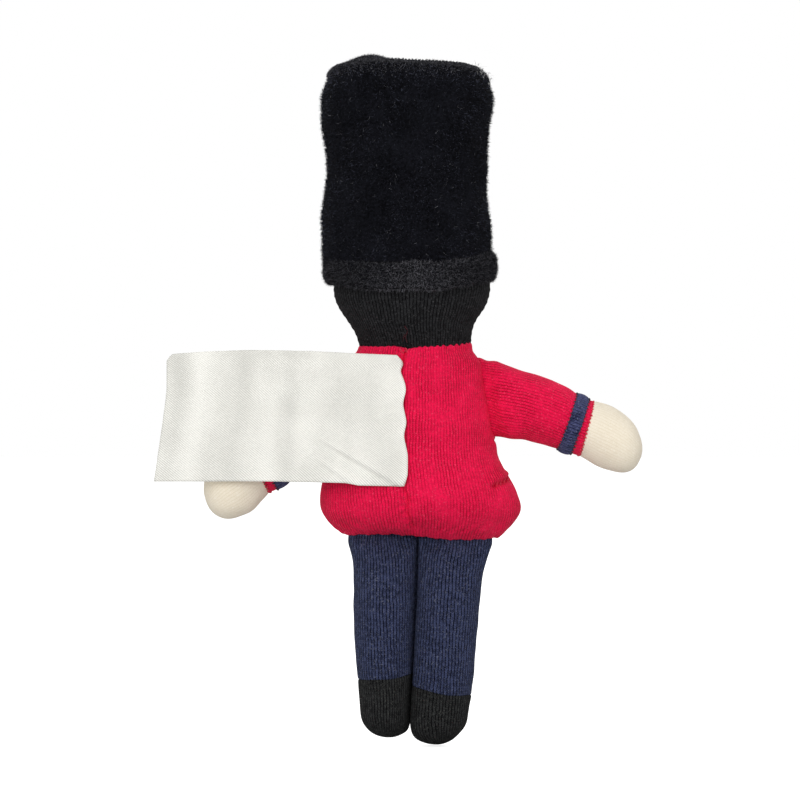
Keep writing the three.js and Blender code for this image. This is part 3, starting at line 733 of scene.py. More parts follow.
legs = {}
for name, ribs, ends, seed, yarn in (
        ("left_trousers", left_trouser_ribs, (0.35, 0.7), 3, navy_yarn),
        ("left_boot_cover", left_boot_ribs, (5.5, 0.35), 4, boot_yarn),
        ("right_trousers", right_trouser_ribs, (0.35, 0.7), 5, navy_yarn),
        ("right_boot_cover", right_boot_ribs, (5.8, 0.35), 6, boot_yarn)):
    leg_x = 7 if name.startswith("left") else -7.5
    leg = tube(name, ribs, 56, 0.9, ends, wales=56, course=0.52, start=math.pi)
    if "trousers" in name:
        fill_cloth(leg, lambda x, y, z: (z > 43.5) | (z < 14) | (np.abs(x) < 1.8))
    smoother(leg)
    sculpt(leg, side_by_side(seed, leg_x))
    leg.data.materials.append(yarn)
    legs[name] = leg
print("legs:", sum(len(leg.data.polygons) for leg in legs.values()), "faces")

# %% [markdown]
# ## The arms
# A sleeve is sewn along a slanting seam at the side of the tunic and bends down a little on its way.
# Its ribs are pairs of points on its upper and lower edge. The left arm is the same arm turned
# further down about its seam, because the label lies over it, with its wrist bent out again.

# %% Ribs of an arm
SHOULDER, LEFT_WRIST = np.array([17.36, 77.04]), np.array([35.26, 62.0])
right_sleeve_pairs = [
    (-13.4, 86.4, -17.4, 68.6, 2.6), (-15.1, 86.8, -18.8, 68.1, 3.2), (-17.2, 86.3, -19.9, 67.8, 4.3),
    (-19.7, 85.3, -21.3, 67.8, 5.2), (-23.8, 83.8, -24.2, 68.0, 6.0), (-27.9, 82.5, -27.3, 67.3, 6.3),
    (-32.0, 81.0, -29.7, 66.7, 6.4), (-34.7, 79.65, -31.0, 66.3, 6.3), (-36.7, 78.1, -32.4, 66.0, 6.3),
    (-39.3, 76.9, -35.2, 65.0, 6.1), (-40.5, 76.5, -37.2, 64.4, 6.0),
]
right_hand_pairs = [
    (-40.5, 76.8, -37.3, 64.3, 5.9), (-43.6, 76.0, -39.5, 63.0, 6.0), (-46.3, 74.6, -42.2, 61.6, 6.0),
    (-49.4, 72.1, -45.6, 60.4, 5.9), (-52.8, 69.1, -49.2, 58.2, 5.7),
]


def swung(point, centre, degrees, grow=1.0):
    """A point (x, z) turned about a centre."""
    a, (dx, dz) = math.radians(degrees), (np.array(point) - centre) * grow
    return centre + (dx * math.cos(a) - dz * math.sin(a), dx * math.sin(a) + dz * math.cos(a))


def turned_left(pairs, angle=-23.0, reach=1.04, flick=14.0):
    """The same arm on the other side, turned down about its seam, with its end bent out again."""
    turned = []
    for x1, z1, x2, z2, deep in pairs:
        middle = math.hypot(-(x1 + x2) / 2 - SHOULDER[0], (z1 + z2) / 2 - SHOULDER[1])
        fade, bend = min(1.0, middle / 9), min(max((middle - 12) / 10, 0), 1)
        fade, bend = fade * fade * (3 - 2 * fade), bend * bend * (3 - 2 * bend)
        row = []
        for x, z in ((-x1, z1), (-x2, z2)):
            place = swung((x, z), SHOULDER, angle * fade, 1 + (reach - 1) * fade)
            row += list(swung(place, LEFT_WRIST, flick * bend))
        turned.append((*row, deep))
    return turned


LEFT_HAND_MORE = (0, 0.4, 0.75, 0.45, -0.25)


def fuller(pair, more):
    """A rib whose lower edge point is moved outward."""
    x1, z1, x2, z2, deep = pair
    long = math.hypot(x2 - x1, z2 - z1)
    return x1, z1, x2 + more * (x2 - x1) / long, z2 + more * (z2 - z1) / long, deep


def limb(pairs):
    """Ribs from pairs of edge points, with their place along the arm."""
    pairs = np.array(pairs, float)
    middle = (pairs[:, 0:2] + pairs[:, 2:4]) / 2
    run = np.concatenate([[0], np.cumsum(np.linalg.norm(np.diff(middle, axis=0), axis=1))])
    return [(s, *row[:4], row[4], row[4]) for s, row in zip(run, pairs)]


# %% Sleeves and hands


def past_seam(x, z):
    """How far outside the slanting seam at its root a point of a sleeve is."""
    return np.abs(x) - (17.2 + (76.9 - z) * 0.17)


def shape_arm(seed, root):
    """A sleeve is drawn in and puckered at its root. A hand gets only lumps."""
    def move(p, n):
        x, y, z = p.T
        away = past_seam(x, z)
        push = (0.35 if root else 0.18) * lumps(p, 9, seed) + 0.12 * lumps(p, 3.4, seed + 1)
        if root:
            push *= np.clip(away / 3, 0, 1)
            push += 0.12 * np.sin(z * 3.1 + 2 * lumps(p, 5, seed)) * near(away - 1.6, 1.8)
            push -= 0.55 * near(away - 0.8, 1.5)
        moved = p + n * push[:, None]
        if root:
            hug = np.clip(1 - away / 4, 0, 1)
            moved[:, 0] -= np.sign(x) * (y * y / 19) * hug
        return moved
    return move


arms = {}
for side, turn_of in (("right", lambda pairs: pairs), ("left", turned_left)):
    sleeve_ribs = limb(turn_of(right_sleeve_pairs))
    hand_pairs = turn_of(right_hand_pairs)
    if side == "left":
        hand_pairs = [fuller(pair, more) for pair, more in zip(hand_pairs, LEFT_HAND_MORE)]
    hand_ribs = limb(hand_pairs)
    sleeve = tube(f"{side}_sleeve_cover", sleeve_ribs, 64, 0.85, (0.5, 0.35), start=-math.pi / 2)
    wrist_x = 36 if side == "right" else 30
    fill_cloth(sleeve, lambda x, y, z: (past_seam(x, z) < 1.2) | (np.abs(x) > wrist_x))
    smoother(sleeve)
    sculpt(sleeve, shape_arm(11 if side == "left" else 13, True))
    sleeve.data.materials.append(red_yarn)
    hand = tube(f"{side}_mitten", hand_ribs, 56, 0.8, (0.35, 5.6), wales=58, start=-math.pi / 2)
    smoother(hand)
    sculpt(hand, shape_arm(17 if side == "left" else 19, False))
    hand.data.materials.append(cream_yarn)
    arms[side] = {"sleeve": sleeve, "hand": hand, "ribs": sleeve_ribs}
print("arms ready, right arm", round(sleeve_ribs[-1][0] + hand_ribs[-1][0], 1), "mm long")

# %% [markdown]
# ## Cuff bands
# A narrow navy band of thicker knitting runs round each sleeve, a little short of its end. It is
# a closed ring whose section is a soft cushion, wrapped round the ribs of the sleeve.

# %% Cuff bands


def soft_ring(name, ribs, middle, width, lift, rise, sides, steps, start, power, wales, course=1):
    """A closed ring whose section is a cushion, wrapped round ribs. It stands out by lift and rise."""
    rings = [ring(eased(ribs, [middle + width / 2 * math.cos(angle)])[0], 0, sides, start, power,
                  lift + rise * math.sin(angle))[0] for angle in np.linspace(0, 2 * np.pi, steps + 1)[:-1]]
    faces, uvs = [], []
    for i in range(steps):
        for j in range(sides):
            k, m = (j + 1) % sides, (i + 1) % steps
            faces.append((i * sides + j, i * sides + k, m * sides + k, m * sides + j))
            u, v, low, high = wales * j / sides, wales * (j + 1) / sides, i * course, (i + 1) * course
            uvs += [(u, low), (v, low), (v, high), (u, high)]
    return smoother(faces_out(mesh_piece(name, np.array(rings).reshape(-1, 3), faces, uvs)))


def crushed(p, n):
    return p + n * (0.10 * lumps(p, 1.6, 23) + 0.08 * lumps(p, 5, 23))[:, None]


CUFF_WIDTH, CUFF_FROM_END = 3.2, 3.05
for side, lift, rise in (("right", 0.22, 0.55), ("left", 0.05, 0.42)):
    ribs = arms[side]["ribs"]
    cuff = soft_ring(f"{side}_cuff_ring", ribs, ribs[-1][0] - CUFF_FROM_END, CUFF_WIDTH, lift, rise, 96, 12,
                     -math.pi / 2, 2.0, 62, 0.9)
    arms[side]["band"] = sculpt(cuff, crushed)
    cuff.data.materials.append(cuff_yarn)
print("cuff bands ready")

# %% [markdown]
# ## The head
# The head is one stuffed ball of two halves: black knitting at the back, which stands for hair, and
# a cream face in front. It is made as one tube, so that both halves share one form, and then cut
# along the seam with bisect. Solidify gives each half the thickness of its cloth.

# %% Head
head_ribs = upright([
    (88.2, 12.2, -12.7, 9.3, 9.4), (90.2, 12.7, -12.95, 9.9), (91.6, 13.15, -13.05, 10.4, 10.3),
    (93.4, 14.15, -13.4, 11.0, 10.9), (95.2, 15.3, -14.25, 11.6, 11.5), (97.0, 16.5, -15.4, 12.1, 12.0),
    (98.8, 17.4, -16.3, 12.5, 12.4), (100.6, 17.95, -16.85, 12.7), (102.4, 18.1, -17.1, 12.8, 12.9),
    (104.5, 17.7, -17.0, 12.6, 12.7), (108.0, 17.0, -15.6, 12.4), (116.5, 16.6, -15.2, 12.0),
])
FACE_SEAM_Y, HEAD_CLOTH = -1.2, 0.6
ball = tube("head_ball", head_ribs, 104, 0.85, (0.8, 8.5), wales=118, start=-0.12)
fill_cloth(ball, lambda x, y, z: (z < 90) | (z > 103) | (np.abs(y - FACE_SEAM_Y) < 0.6))
smoother(ball)


def shape_head(p, n):
    x, y, z = p.T
    push = 0.30 * lumps(p, 11, 31) + 0.10 * lumps(p, 4, 32)
    off_seam = x - seam_x(z)
    push -= 0.28 * near(off_seam, 0.5) * (y > 0) * near(z - 90, 4.5)
    turn = np.arctan2(y, x)
    push += 0.13 * np.sin(turn * 44 + 2 * lumps(p, 5, 33)) * near(z - 89.5, 1.8)
    push -= 0.45 * near(y - FACE_SEAM_Y, 0.6)
    push += 0.07 * np.sin(z * 4.4) * near(np.abs(y - FACE_SEAM_Y) - 1.2, 0.9)
    push *= np.clip((104 - z) / 2, 0, 1)
    return p + n * push[:, None]


sculpt(ball, shape_head)


def half(piece, name, y, keep_back):
    """A copy of the piece cut at the plane, keeping the back or the front."""
    part = copy_of(piece)
    part.name = name
    return edited(part, bpy.ops.mesh.bisect, plane_co=at(0, y, 95), plane_no=(0, 1, 0),
                  clear_inner=keep_back, clear_outer=not keep_back)


head_back = half(ball, "head_back_cover", FACE_SEAM_Y + 0.01, True)
face = half(ball, "face_cover", FACE_SEAM_Y - 0.01, False)
discard(ball)
for part, yarn in ((head_back, black_yarn), (face, cream_yarn)):
    finish_with(part, "SOLIDIFY", thickness=HEAD_CLOTH * MM, offset=-1)
    part.data.materials.append(yarn)
print("head:", len(head_back.data.polygons) + len(face.data.polygons), "faces")

# %% [markdown]
# ## The hat
# The tall hat is a plush tube with a slight waist, closed by an oval panel. The seam between them
# stands up as a thin roll, puckered by its stitches. The lower edge of the hat is turned up into
# a soft thick roll. First come the bare forms, and the pile is set on them afterwards.

# %% Plush material


def plush_cloth(name, light, dark, speck):
    material, tree, shader = new_material(name)
    place = object_place(tree)
    nap = cloudy(tree, place, 1900, 4.0)
    tone = scaled(tree, calc(tree, "SUBTRACT", nap, 0.5), 2.6, 0.45)
    tone = scaled(tree, uneven(tree, place, 140, 3.0), 1.3, tone)
    dots = new_node(tree, "MapRange", Value=cloudy(tree, place, 3300, 1.0), From_Min=0.73, From_Max=0.80)
    setting(tree, shader, Roughness=0.95, Specular_IOR_Level=0.04, Sheen_Weight=0.01, Sheen_Roughness=0.6,
            Base_Color=two_colours(tree, dots.outputs[0], two_colours(tree, tone, dark, light), speck),
            Normal=bumped(tree, nap, 0.0003, 0.9))
    return material


rim_cloth = plush_cloth("rim_plush", (0.050, 0.050, 0.056), (0.007, 0.007, 0.009), (0.13, 0.13, 0.14))
plush = plush_cloth("black_plush", (0.008, 0.0085, 0.012), (0.0016, 0.0016, 0.0024), (0.035, 0.035, 0.042))

# %% Hat forms
crown_ribs = upright([
    (107.4, 20.4, -17.2, 13.6), (111.4, 20.6, -17.2, 13.7), (115.1, 21.1, -17.5, 13.7),
    (118.7, 21.5, -17.3, 13.6), (122.3, 21.1, -17.1, 13.5), (125.9, 20.4, -16.9, 13.4),
    (129.5, 20.0, -16.9, 13.5), (133.1, 20.1, -17.0, 13.7), (136.7, 20.8, -17.3, 13.9),
    (140.3, 21.4, -17.6, 14.1), (143.9, 21.4, -18.1, 14.2), (147.0, 21.1, -17.9, 14.1),
    (149.4, 20.4, -17.6, 13.9), (151.4, 19.7, -17.0, 13.6), (152.2, 19.2, -16.4, 13.2),
    (152.8, 18.5, -15.6, 12.7),
])
crown = tube("hat_crown_cover", crown_ribs, 104, 0.95, (0.5, 0.5), wales=150, course=0.6, start=-0.06,
             power=2.3)
fill_cloth(crown, lambda x, y, z: (z > 151.6) | (z < 109))
smoother(crown)


def tipped(p):
    """The top slopes up to the front, has a crest on the left, and hangs down at both ends."""
    x, y, z = p.T
    rise = np.clip((z - 143.5) / 9, 0, 1)
    lift = 0.052 * (x - 1.6) - 0.05 * y + 1.75 * near(x - 10.5, 5.2) * np.clip(0.5 - y / 8, 0, 1)
    out = np.clip(np.abs(x - 1.3) / 17, 0, 1.18)
    lift -= np.where(x > 1.3, 2.25 * out ** 3 + 0.9 * np.clip((x - 17.3) / 2.5, 0, 1) ** 2, 1.7 * out ** 8)
    return p + np.stack([0 * x, 0 * x, rise * rise * (3 - 2 * rise) * lift], axis=1)


def shape_crown(p, n):
    x, y, z = p.T
    push = 0.5 * lumps(p, 13, 41) + 0.2 * lumps(p, 5, 42)
    moved = tipped(p + n * (push * np.clip((z - 107.6) / 1.5, 0, 1))[:, None])
    inside = np.hypot((x - 1.6) / 18.4, y / 13.5)
    under = (z < 107.7) & (inside < 0.93)
    moved[:, 2] += np.where(under, 9.3 * np.sqrt(np.clip(1 - inside ** 2, 0, 1)), 0)
    return moved


sculpt(crown, shape_crown)
panel_ribs = upright([
    (151.9, 17.8, -15.0, 12.6), (152.5, 17.6, -14.8, 12.4), (152.9, 17.1, -14.3, 12.0),
    (153.2, 16.0, -13.2, 11.0),
])
panel = tube("hat_top_cover", panel_ribs, 104, 0.5, (0.4, 0.7), wales=150, course=0.6, start=-0.06, power=2.3)
smoother(panel)


def shape_panel(p, n):
    x, y, z = p.T
    edge = np.hypot((x - 1.4) / 16.2, y / 12.6)
    moved = tipped(p)
    moved[:, 2] += (z > 152.6) * (0.25 * lumps(p, 7, 44) - 0.45 * near(edge - 0.35, 0.4))
    return moved


sculpt(panel, shape_panel)


def shape_brim(p, n):
    """The roll hangs lowest at the back and is drawn up at both sides."""
    x, y, z = p.T
    moved = p + n * (0.35 * lumps(p, 6, 47) + 0.28 * lumps(p, 2.6, 48))[:, None]
    moved[:, 2] += 2.1 * np.clip(np.abs(x - 1) / 18, 0, 1) ** 2.5 - 0.018 * x - 0.3 + 0.02 * (14 - y)
    return moved


brim_ribs = upright([(100, 18.9, -17.1, 13.7, 13.8), (105, 19.1, -17.2, 13.9, 14.0),
                     (110, 18.9, -17.0, 13.7, 13.8)])
brim = soft_ring("hat_brim_cover", brim_ribs, 104.6, 6.0, 0.2, 0.95, 150, 16, -0.06, 2.2, 150)
sculpt(brim, shape_brim)
rim_ribs = upright([(152.0, 19.3, -16.5, 13.0), (153.4, 18.8, -16.1, 12.7)])


def shape_rim(p, n):
    """The turned-in edge of the plush is puckered by the stitches of the seam."""
    x, y, z = p.T
    turn = np.arctan2(y * 1.15, x - 1.35)
    return tipped(p + n * (0.15 * np.sin(turn * 124) + 0.14 * lumps(p, 3, 49))[:, None])


rim = soft_ring("hat_seam_roll", rim_ribs, 152.75, 1.0, 0.1, 0.5, 380, 16, -0.06, 2.2, 380)
sculpt(rim, shape_rim)
for part in (crown, panel, brim, rim):
    part.data.materials.append(plush if part is not rim else rim_cloth)
    print(part.name, len(part.data.polygons), "faces")

# %% [markdown]
# ## Pile
# The nap of plush is thousands of short fibres. One blade of two faces is enough for each. They
# are scattered evenly over a cover's faces with a fixed seed, lean and curl a little, and are joined
# in one mesh per cover. Each blade has its own tone, kept in an attribute that the material reads.
# The nap is lighter along the seam of the top and on the brim, some fluff clings to it, and a few
# pale threads stick out at the right corner, where the seam is frayed.

# %% Pile


def scatter(piece, count, seed, wanted=None):
    """Random places over a piece's faces, in millimetres. wanted(x, y, z) thins them out."""
    mesh = piece.data
    mesh.calc_loop_triangles()
    corners = np.empty(len(mesh.loop_triangles) * 3, np.int32)
    mesh.loop_triangles.foreach_get("vertices", corners)
    corners = corners.reshape(-1, 3)
    points, normals = points_of(mesh)
    a, b, c = (points[corners[:, i]] for i in range(3))
    area = np.linalg.norm(np.cross(b - a, c - a), axis=1) / 2
    if wanted is not None:
        area = area * wanted(*((a + b + c) / 3).T)
    rng = np.random.default_rng(seed)
    pick = rng.choice(len(area), count, p=area / area.sum())
    u, v = rng.random(count), rng.random(count)
    flip = u + v > 1
    u, v = np.where(flip, 1 - u, u), np.where(flip, 1 - v, v)
    w = 1 - u - v
    place = a[pick] * w[:, None] + b[pick] * u[:, None] + c[pick] * v[:, None]
    na, nb, nc = (normals[corners[pick, i]] for i in range(3))
    normal = na * w[:, None] + nb * u[:, None] + nc * v[:, None]
    return place, normal / np.linalg.norm(normal, axis=1)[:, None], rng


def unit(v):
    return v / np.maximum(np.linalg.norm(v, axis=1), 1e-9)[:, None]


def pile(name, piece, count, length, width, lean, curl, material, seed, wanted=None, sink=0.15, shade=None):
    place, normal, rng = scatter(piece, count, seed, wanted)
    tilt = unit(rng.normal(size=(count, 3)))
    down = np.array([0.0, 0.0, -0.35])
    heading = unit(normal + tilt * lean + down * lean)
    bend = unit(rng.normal(size=(count, 3))) * curl
    long = length * rng.uniform(0.6, 1.25, count)[:, None]
    wide = (unit(np.cross(heading, rng.normal(size=(count, 3))))
            * (width * rng.uniform(0.7, 1.3, count)[:, None] / 2))
    root = place - normal * sink
    middle = root + heading * long * 0.55 + bend * long * 0.12
    tip = root + unit(heading + bend) * long
    points = np.stack([root - wide, root + wide, middle + wide * 0.8, middle - wide * 0.8, tip], axis=1)
    base = np.arange(count)[:, None] * 5
    faces = (base + [0, 1, 2, 3]).tolist() + (base + [3, 2, 4]).tolist()
    fur = mesh_piece(name, points.reshape(-1, 3), faces)
    tone = rng.random(count) * (1 if shade is None else shade(*place.T))
    give_tone(fur, np.repeat(tone, 5))
    fur.data.materials.append(material)
    return fur


def fibre_material(name, low, high):
    material, tree, shader = new_material(name)
    colour = two_colours(tree, calc(tree, "POWER", own_tone(tree), 2.2), low, high)
    setting(tree, shader, Base_Color=colour, Roughness=0.75, Specular_IOR_Level=0.04)
    return material


black_pile = fibre_material("black_pile", (0.0008, 0.0010, 0.0018), (0.074, 0.079, 0.110))
brim_pile = fibre_material("brim_pile", (0.004, 0.004, 0.005), (0.215, 0.215, 0.24))
lint = fibre_material("lint", (0.02, 0.02, 0.025), (0.24, 0.24, 0.26))
pale_lint = fibre_material("pale_lint", (0.35, 0.35, 0.35), (0.88, 0.88, 0.87))
outer = lambda x, y, z: (z > 108.2) & (z < 152.0)
under_rim = lambda x, y, z: np.clip((z - 148.8) / 1.6, 0, 1)
torn = lambda x, y, z: (x < -12.5) & (y > 1)
lighter_above = lambda x, y, z: (0.82 + 0.45 * np.clip((z - 145.5) / 5, 0, 1)
                                 + 0.12 * np.sin(x * 0.35 + z * 0.22))
lighter_behind = lambda x, y, z: 0.72 + 0.42 * near(x, 10) * (y > 0)
hat_piles = [
    pile("hat_crown_pile", crown, 46000, 0.95, 0.09, 0.75, 0.5, black_pile, 51, outer, shade=lighter_above),
    pile("hat_band_pile", crown, 20000, 0.9, 0.07, 0.9, 0.8, brim_pile, 56, under_rim),
    pile("hat_rim_pile", rim, 6500, 0.42, 0.07, 0.8, 0.8, brim_pile, 57, sink=0.05),
    pile("hat_top_pile", panel, 9000, 0.6, 0.10, 0.7, 0.5, black_pile, 52, lambda x, y, z: z > 150.5),
    pile("hat_brim_pile", brim, 56000, 1.1, 0.065, 0.9, 1.1, brim_pile, 53, shade=lighter_behind),
    pile("hat_lint", crown, 1500, 1.0, 0.05, 2.4, 1.6, lint, 54, outer, sink=-0.25),
    pile("hat_corner_lint", rim, 60, 1.8, 0.10, 1.6, 2.0, pale_lint, 55, torn, sink=-0.1),
]
print("pile:", sum(len(part.data.polygons) for part in hat_piles), "faces")

# %% [markdown]
# ## The care label
# The label is a strip of white woven tape, sewn by its short edge into the seam of the back. It lies
# over the tunic and the left sleeve and keeps the soft waves and the slanting crease that it got in
# the packing. It is made as a fine grid. Rays find how high the cloth stands under each point, and
# averaging passes let the tape bridge the hollows between, as a stiff tape does.

# %% Label cloth
LABEL_LONG, LABEL_TALL, TAPE_THICK, TAPE_CLEAR = 55.5, 29.4, 0.22, 0.35
woven_tape, tree, shader = new_material("woven_tape")
along, up, _ = new_node(tree, "SeparateXYZ", Vector=stitch_place(tree)).outputs
twill = scaled(tree, up, 2.0, calc(tree, "MULTIPLY", along, -1.5))
twill = calc(tree, "ABSOLUTE", scaled(tree, calc(tree, "FRACT", twill), 2.0, -1.0))
weave = scaled(tree, calc(tree, "SINE", calc(tree, "MULTIPLY", up, 2 * math.pi * 5)), 0.12, twill)
place = object_place(tree)
# Noise stretched along the tape paints soft vertical bands of shade where the tape is folded: painted shade.
# The other two noises are the tape's own tint and fuzz.
fold_shade_place = new_node(tree, "CombineXYZ", X=calc(tree, "MULTIPLY", along, 0.11),
                   Y=calc(tree, "MULTIPLY", up, 0.018))
tone = scaled(tree, weave, 1.25, -0.1)
for tint_and_fold_shade, strength in ((uneven(tree, place, 120, 3.0), 0.8), (uneven(tree, place, 2200, 3.0), 0.7),
                        (uneven(tree, fold_shade_place.outputs[0], 1.0, 1.5, 2), 1.6)):
    tone = scaled(tree, tint_and_fold_shade, strength, tone)
setting(tree, shader, Base_Color=two_colours(tree, tone, (0.60, 0.595, 0.55), (0.93, 0.92, 0.86)),
        Roughness=0.55, Specular_IOR_Level=0.35, Sheen_Weight=0.15,
        Normal=bumped(tree, weave, 0.00006, 0.5))

# %% What the label lies on


def cloth_height(x, z, under):
    """How far back the cloth under a point of the label stands, in millimetres."""
    highest = -20.0
    for piece in under:
        hit, place, _, _ = piece.ray_cast(at(x, 60, z), Vector((0, -1, 0)))
        if hit:
            highest = max(highest, place.y / MM - MIDDLE[1])
    return highest


# %% Label
LABEL_ACROSS, LABEL_UP, LABEL_PASSES = 120, 64, 400
wide, tall = LABEL_ACROSS + 1, LABEL_UP + 1
u, v = np.meshgrid(np.linspace(0, 1, wide), np.linspace(0, 1, tall), indexing="ij")
low_edge = np.interp(u, (0, 0.18, 0.23, 0.5, 1), (57.75, 57.9, 58.45, 58.75, 58.65))
high_edge = np.interp(u, (0, 0.19, 0.36, 0.52, 0.64, 0.82, 1),
                      (86.9, 87.3, 87.75, 87.98, 88.05, 87.75, 87.15))
z = low_edge * (1 - v) + high_edge * v
free_edge = 55.5 + 2.8 * np.clip((0.72 - v) / 0.72, 0, 1) ** 1.15
sewn_edge = np.interp(v, (0, 0.08, 0.24, 0.385, 0.487, 0.63, 0.733, 0.80, 0.886, 0.935, 1),
                      (2.3, 1.5, 1.45, 2.4, 1.7, 2.6, 1.8, 2.2, 3.3, 2.2, 3.9))
for _ in range(3):
    sewn_edge[:, 1:-1] = (sewn_edge[:, :-2] + sewn_edge[:, 2:] + 2 * sewn_edge[:, 1:-1]) / 4
x = sewn_edge * (1 - u) + free_edge * u
corner = np.clip(1 - np.hypot((1 - u) * 53, (1 - v) * 29) / 1.5, 0, 1)
x, z = x - 0.7 * corner, z - 0.5 * corner
under = [tunic] + [arms["left"][part] for part in ("sleeve", "band", "hand")]
floor_y = np.array([[cloth_height(a, b, under) for a, b in zip(*pair)] for pair in zip(x, z)])
rest = floor_y + TAPE_CLEAR
y = np.maximum(np.interp(x, (2, 12, 22, 40, 58), (13.0, 13.2, 12.0, 8.6, 6.6)), rest)
for _ in range(LABEL_PASSES):
    middle = y.copy()
    middle[1:-1] = (y[:-2] + y[2:] + 2 * y[1:-1]) / 4
    middle[:, 1:-1] = (middle[:, :-2] + middle[:, 2:] + 2 * middle[:, 1:-1]) / 4
    middle[-1] = 6.4 + 0.5 * np.sin(v[-1] * 4.2)
    middle[0] = rest[0]
    y = np.maximum(middle, rest)
away = np.clip(u * 6, 0, 1)
y += away * (0.65 * np.sin(u * 15 + v * 1.6 + 1.1) + 0.22 * np.sin(v * 5 + u * 7)
             + 0.14 * np.sin(u * 33 - v * 3))
crease = (x - 3.5) * 0.578 - (z - 58.2)
fade = np.clip((22.0 - x) / 6, 0, 1)
y += fade * (0.5 * near(crease, 0.4) - 0.25 * near(crease - 1.0, 0.7))
second = (x - 14.1) * 0.70 - (z - 58.7)
y += 0.45 * near(second, 0.45) * near(x - 17.2, 3.8)
y += 0.7 * near(1 - v, 0.07) * near(u - 0.02, 0.06) + 0.35 * near(u, 0.02) * (1 + np.sin(v * 21))
y += 0.45 * near(1 - u, 0.05) * near(1 - v, 0.08)
y = np.maximum(y, rest)
points = np.stack([x, y, z], axis=2).reshape(-1, 3)
uvs = np.stack([u * LABEL_LONG, v * LABEL_TALL], axis=2).reshape(-1, 2).tolist()
faces = [(i * tall + j, (i + 1) * tall + j, (i + 1) * tall + j + 1, i * tall + j + 1)
         for i in range(LABEL_ACROSS) for j in range(LABEL_UP)]
label = mesh_piece("care_label_tape", points, faces, [uvs[k] for f in faces for k in f])
label.data.materials.append(woven_tape)
finish_with(label, "SOLIDIFY", thickness=TAPE_THICK * MM, offset=0)
print("label:", len(label.data.polygons), "faces")

# %% [markdown]
# ## Thread
# Every seam that can be seen has its own stitches, and the eyes, the mouth and the buttons are
# embroidered. All of them are short lengths of thread. One length is modelled from a cylinder that
# is cut into short steps with bisect, and its copies are laid down from hole to hole in a low arch.
# The seams are sewn by hand, so the lengths differ.

# %% One length of thread
bpy.ops.object.select_all(action="DESELECT")
bpy.ops.mesh.primitive_cylinder_add(vertices=7, radius=0.5, depth=1, location=(0, 0, 0.5))
length_of_thread = bpy.context.object
bpy.ops.object.mode_set(mode="EDIT")
for height in (0.12, 0.35, 0.65, 0.88):
    bpy.ops.mesh.select_all(action="SELECT")
    bpy.ops.mesh.bisect(plane_co=(0, 0, height), plane_no=(0, 0, 1))
bpy.ops.object.mode_set(mode="OBJECT")
THREAD_POINTS = np.array([v.co for v in length_of_thread.data.vertices])
THREAD_POINTS[:, 2] += 0.5 if THREAD_POINTS[:, 2].min() < -0.01 else 0
THREAD_FACES = [tuple(p.vertices) for p in length_of_thread.data.polygons]
discard(length_of_thread)
print("a length of thread has", len(THREAD_FACES), "faces")


def thread_cloth(name, colour, shine=0.35):
    material, tree, shader = new_material(name)
    twist = new_node(tree, "TexWave", Vector=object_place(tree), Scale=900, Distortion=1.5)
    tone = scaled(tree, own_tone(tree), 0.35, 0.3)
    tone = scaled(tree, twist.outputs["Fac"], 0.45, tone)
    setting(tree, shader, Base_Color=two_colours(tree, tone, [c * 0.45 for c in colour], colour),
            Roughness=0.55, Specular_IOR_Level=shine, Sheen_Weight=0.2)
    return material


red_thread = thread_cloth("red_thread", (0.80, 0.010, 0.06))
faint_thread = thread_cloth("faint_thread", (0.07, 0.001, 0.006), 0.05)
dark_thread = thread_cloth("dark_thread", (0.02, 0.02, 0.035))
gold_thread = thread_cloth("gold_thread", (0.62, 0.36, 0.07), 0.6)
lip_thread = thread_cloth("lip_thread", (0.50, 0.06, 0.065))


def stitches(name, marks, thick, material, arch=0.18):
    """marks: (first hole, last hole, direction out of the cloth) in millimetres."""
    points, faces, tone = [], [], []
    rng = np.random.default_rng(len(marks))
    for first, last, out in marks:
        first, last, out = (np.array(v, float) for v in (first, last, out))
        line = last - first
        out = out - line * (out @ line) / (line @ line)
        out /= np.linalg.norm(out)
        side = np.cross(line, out) / np.linalg.norm(line)
        t = THREAD_POINTS[:, 2]
        lift = arch * (4 * t * (1 - t)) - thick * 0.55 * np.abs(2 * t - 1) ** 6
        base = len(points) * len(THREAD_POINTS)
        points.append(first + t[:, None] * line + lift[:, None] * out
                      + THREAD_POINTS[:, :1] * thick * side + THREAD_POINTS[:, 1:2] * thick * out)
        faces += [tuple(base + k for k in f) for f in THREAD_FACES]
        tone += [rng.random()] * len(THREAD_POINTS)
    piece = faces_out(mesh_piece(name, np.concatenate(points), faces))
    give_tone(piece, tone)
    piece.data.materials.append(material)
    return piece


def on_cloth(piece, x, z, behind):
    """The point of a cover seen straight from behind or in front, and its normal."""
    start = at(x, 60 if behind else -60, z)
    hit, place, normal, _ = piece.ray_cast(start, Vector((0, -1 if behind else 1, 0)))
    if not hit:
        raise ValueError(f"nothing of {piece.name} at {x}, {z}")
    return np.array(place) / MM - MIDDLE, np.array(normal)


# %% Seams that show
def row_on(piece, holes, behind=True, lift=0.0):
    """Stitches between pairs of holes (x, z) on a cover."""
    marks = []
    for (x1, z1), (x2, z2) in holes:
        first, out = on_cloth(piece, x1, z1, behind)
        last, _ = on_cloth(piece, x2, z2, behind)
        marks.append((first + out * lift, last + out * lift, out))
    return marks


